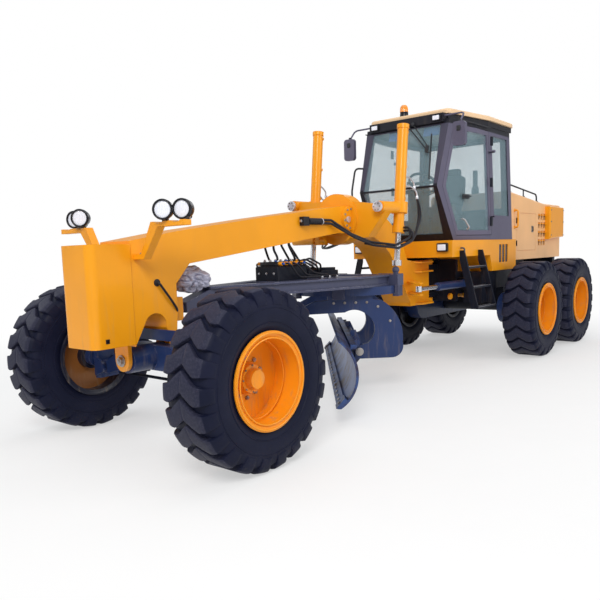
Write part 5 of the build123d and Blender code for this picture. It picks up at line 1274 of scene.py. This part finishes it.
blade_bolts()
circle_bolts()

# Wheels: valve stems in the rims
for name, sign, x, y in WHEELS:
    bm = bmesh.new()
    tube(bm, [(-0.048, 0, 0.288), (0.020, 0, 0.292), (0.048, 0, 0.276)], 0.0045, 0.02)
    disc(bm, (0.050, 0, 0.2745), (0.8, 0, -0.5), 0.0065, 0.014, 16, 0.0015)
    move(bm, spun(70, "X"))
    set_on_wheel(bm, sign, x, y)
    piece(f"valve_stem_{name}", bm, BOLT_STEEL, f"wheel_{name}")

# Floor, light and camera
FLOOR = Finish("studio_floor")
ray = FLOOR.node("LightPath")
seen = ray.out("Is Camera Ray").highest(ray.out("Is Glossy Ray")).highest(ray.out("Is Transmission Ray"))
grain = FLOOR.noise(3, 3)
paper = FLOOR.node("BsdfDiffuse", None, {"Color": FLOOR.mix((0.86, 0.86, 0.86), (0.89, 0.89, 0.89), grain)})
white = FLOOR.node("Emission", None, {"Color": (1, 1, 1), "Strength": 1.0})
reach = FLOOR.node("VectorMath", {"operation": "LENGTH"}, {0: FLOOR.place}).out("Value")
clear = seen * (0.45 + 0.55 * reach.ramp(3.0, 9.0))
blank = FLOOR.node("MixShader", None, {0: clear, 1: paper.out("BSDF"), 2: white.out("Emission")})
FLOOR.node("OutputMaterial", None, {"Surface": blank.out("Shader")})
bm = bmesh.new()
bmesh.ops.create_grid(bm, x_segments=2, y_segments=2, size=60)
mesh = bpy.data.meshes.new("floor")
bm.to_mesh(mesh)
bm.free()
mesh.materials.append(FLOOR.material)
floor = bpy.data.objects.new("floor", mesh)
bpy.context.scene.collection.objects.link(floor)

STUDIO = Finish("studio", bpy.data.worlds)
ray = STUDIO.node("LightPath")
clear = ray.out("Is Camera Ray").highest(ray.out("Is Transmission Ray"))
sky = STUDIO.node("Background", None, {"Color": (0.93, 0.96, 1.0), "Strength": 0.42})
backdrop = STUDIO.node("Background", None, {"Color": (1, 1, 1), "Strength": 1.0})
both = STUDIO.node("MixShader", None, {0: clear, 1: sky.out("Background"), 2: backdrop.out("Background")})
STUDIO.node("OutputWorld", None, {"Surface": both.out("Shader")})
bpy.context.scene.world = STUDIO.material


def softbox(name, place, aim, size, watts, colour):
    light = bpy.data.lights.new(name, "AREA")
    light.shape = "RECTANGLE"
    light.size, light.size_y = size
    light.energy = watts
    light.color = colour
    lamp = bpy.data.objects.new(name, light)
    lamp.location = place
    lamp.rotation_euler = (Vector(aim) - Vector(place)).to_track_quat("-Z", "Y").to_euler()
    bpy.context.scene.collection.objects.link(lamp)


softbox("key", (5.5, -9.5, 7.5), (0, -1.0, 1.0), (4, 4), 620, (1.0, 0.98, 0.95))
softbox("side", (9.0, 2.0, 5.0), (0, 0.5, 1.0), (5, 4), 240, (1.0, 0.99, 0.97))
softbox("top", (0, 0, 9.5), (0, 0, 0), (8, 10), 260, (0.96, 0.98, 1.0))
softbox("fill", (-8, -6, 5), (0, -1, 1), (6, 5), 120, (0.95, 0.97, 1.0))
softbox("back", (-3, 10, 6), (0, 2, 1), (7, 4), 180, (0.97, 0.98, 1.0))

# The camera was fitted to the photograph on the equal tyres and the long edges
YAW, PITCH, ROLL = radians(-39.98), radians(-6.78), radians(-1.82)
ahead = Vector((sin(YAW) * cos(PITCH), cos(YAW) * cos(PITCH), sin(PITCH)))
right = Vector((cos(YAW), -sin(YAW), 0))
up = right.cross(ahead)
rolled_right = right * cos(ROLL) + up * sin(ROLL)
rolled_up = up * cos(ROLL) - right * sin(ROLL)
view = Matrix((rolled_right, rolled_up, -ahead)).transposed().to_4x4()
lens = bpy.data.cameras.new("photo_camera")
lens.sensor_width = 36
lens.lens = 37.91
lens.shift_x = -0.0041
lens.shift_y = 0.0436
lens.clip_end = 300
camera = bpy.data.objects.new("photo_camera", lens)
camera.matrix_world = Matrix.Translation((4.337, -7.090, 1.585)) @ view
bpy.context.scene.collection.objects.link(camera)
bpy.context.scene.camera = camera
bpy.context.scene.view_settings.view_transform = "Standard"
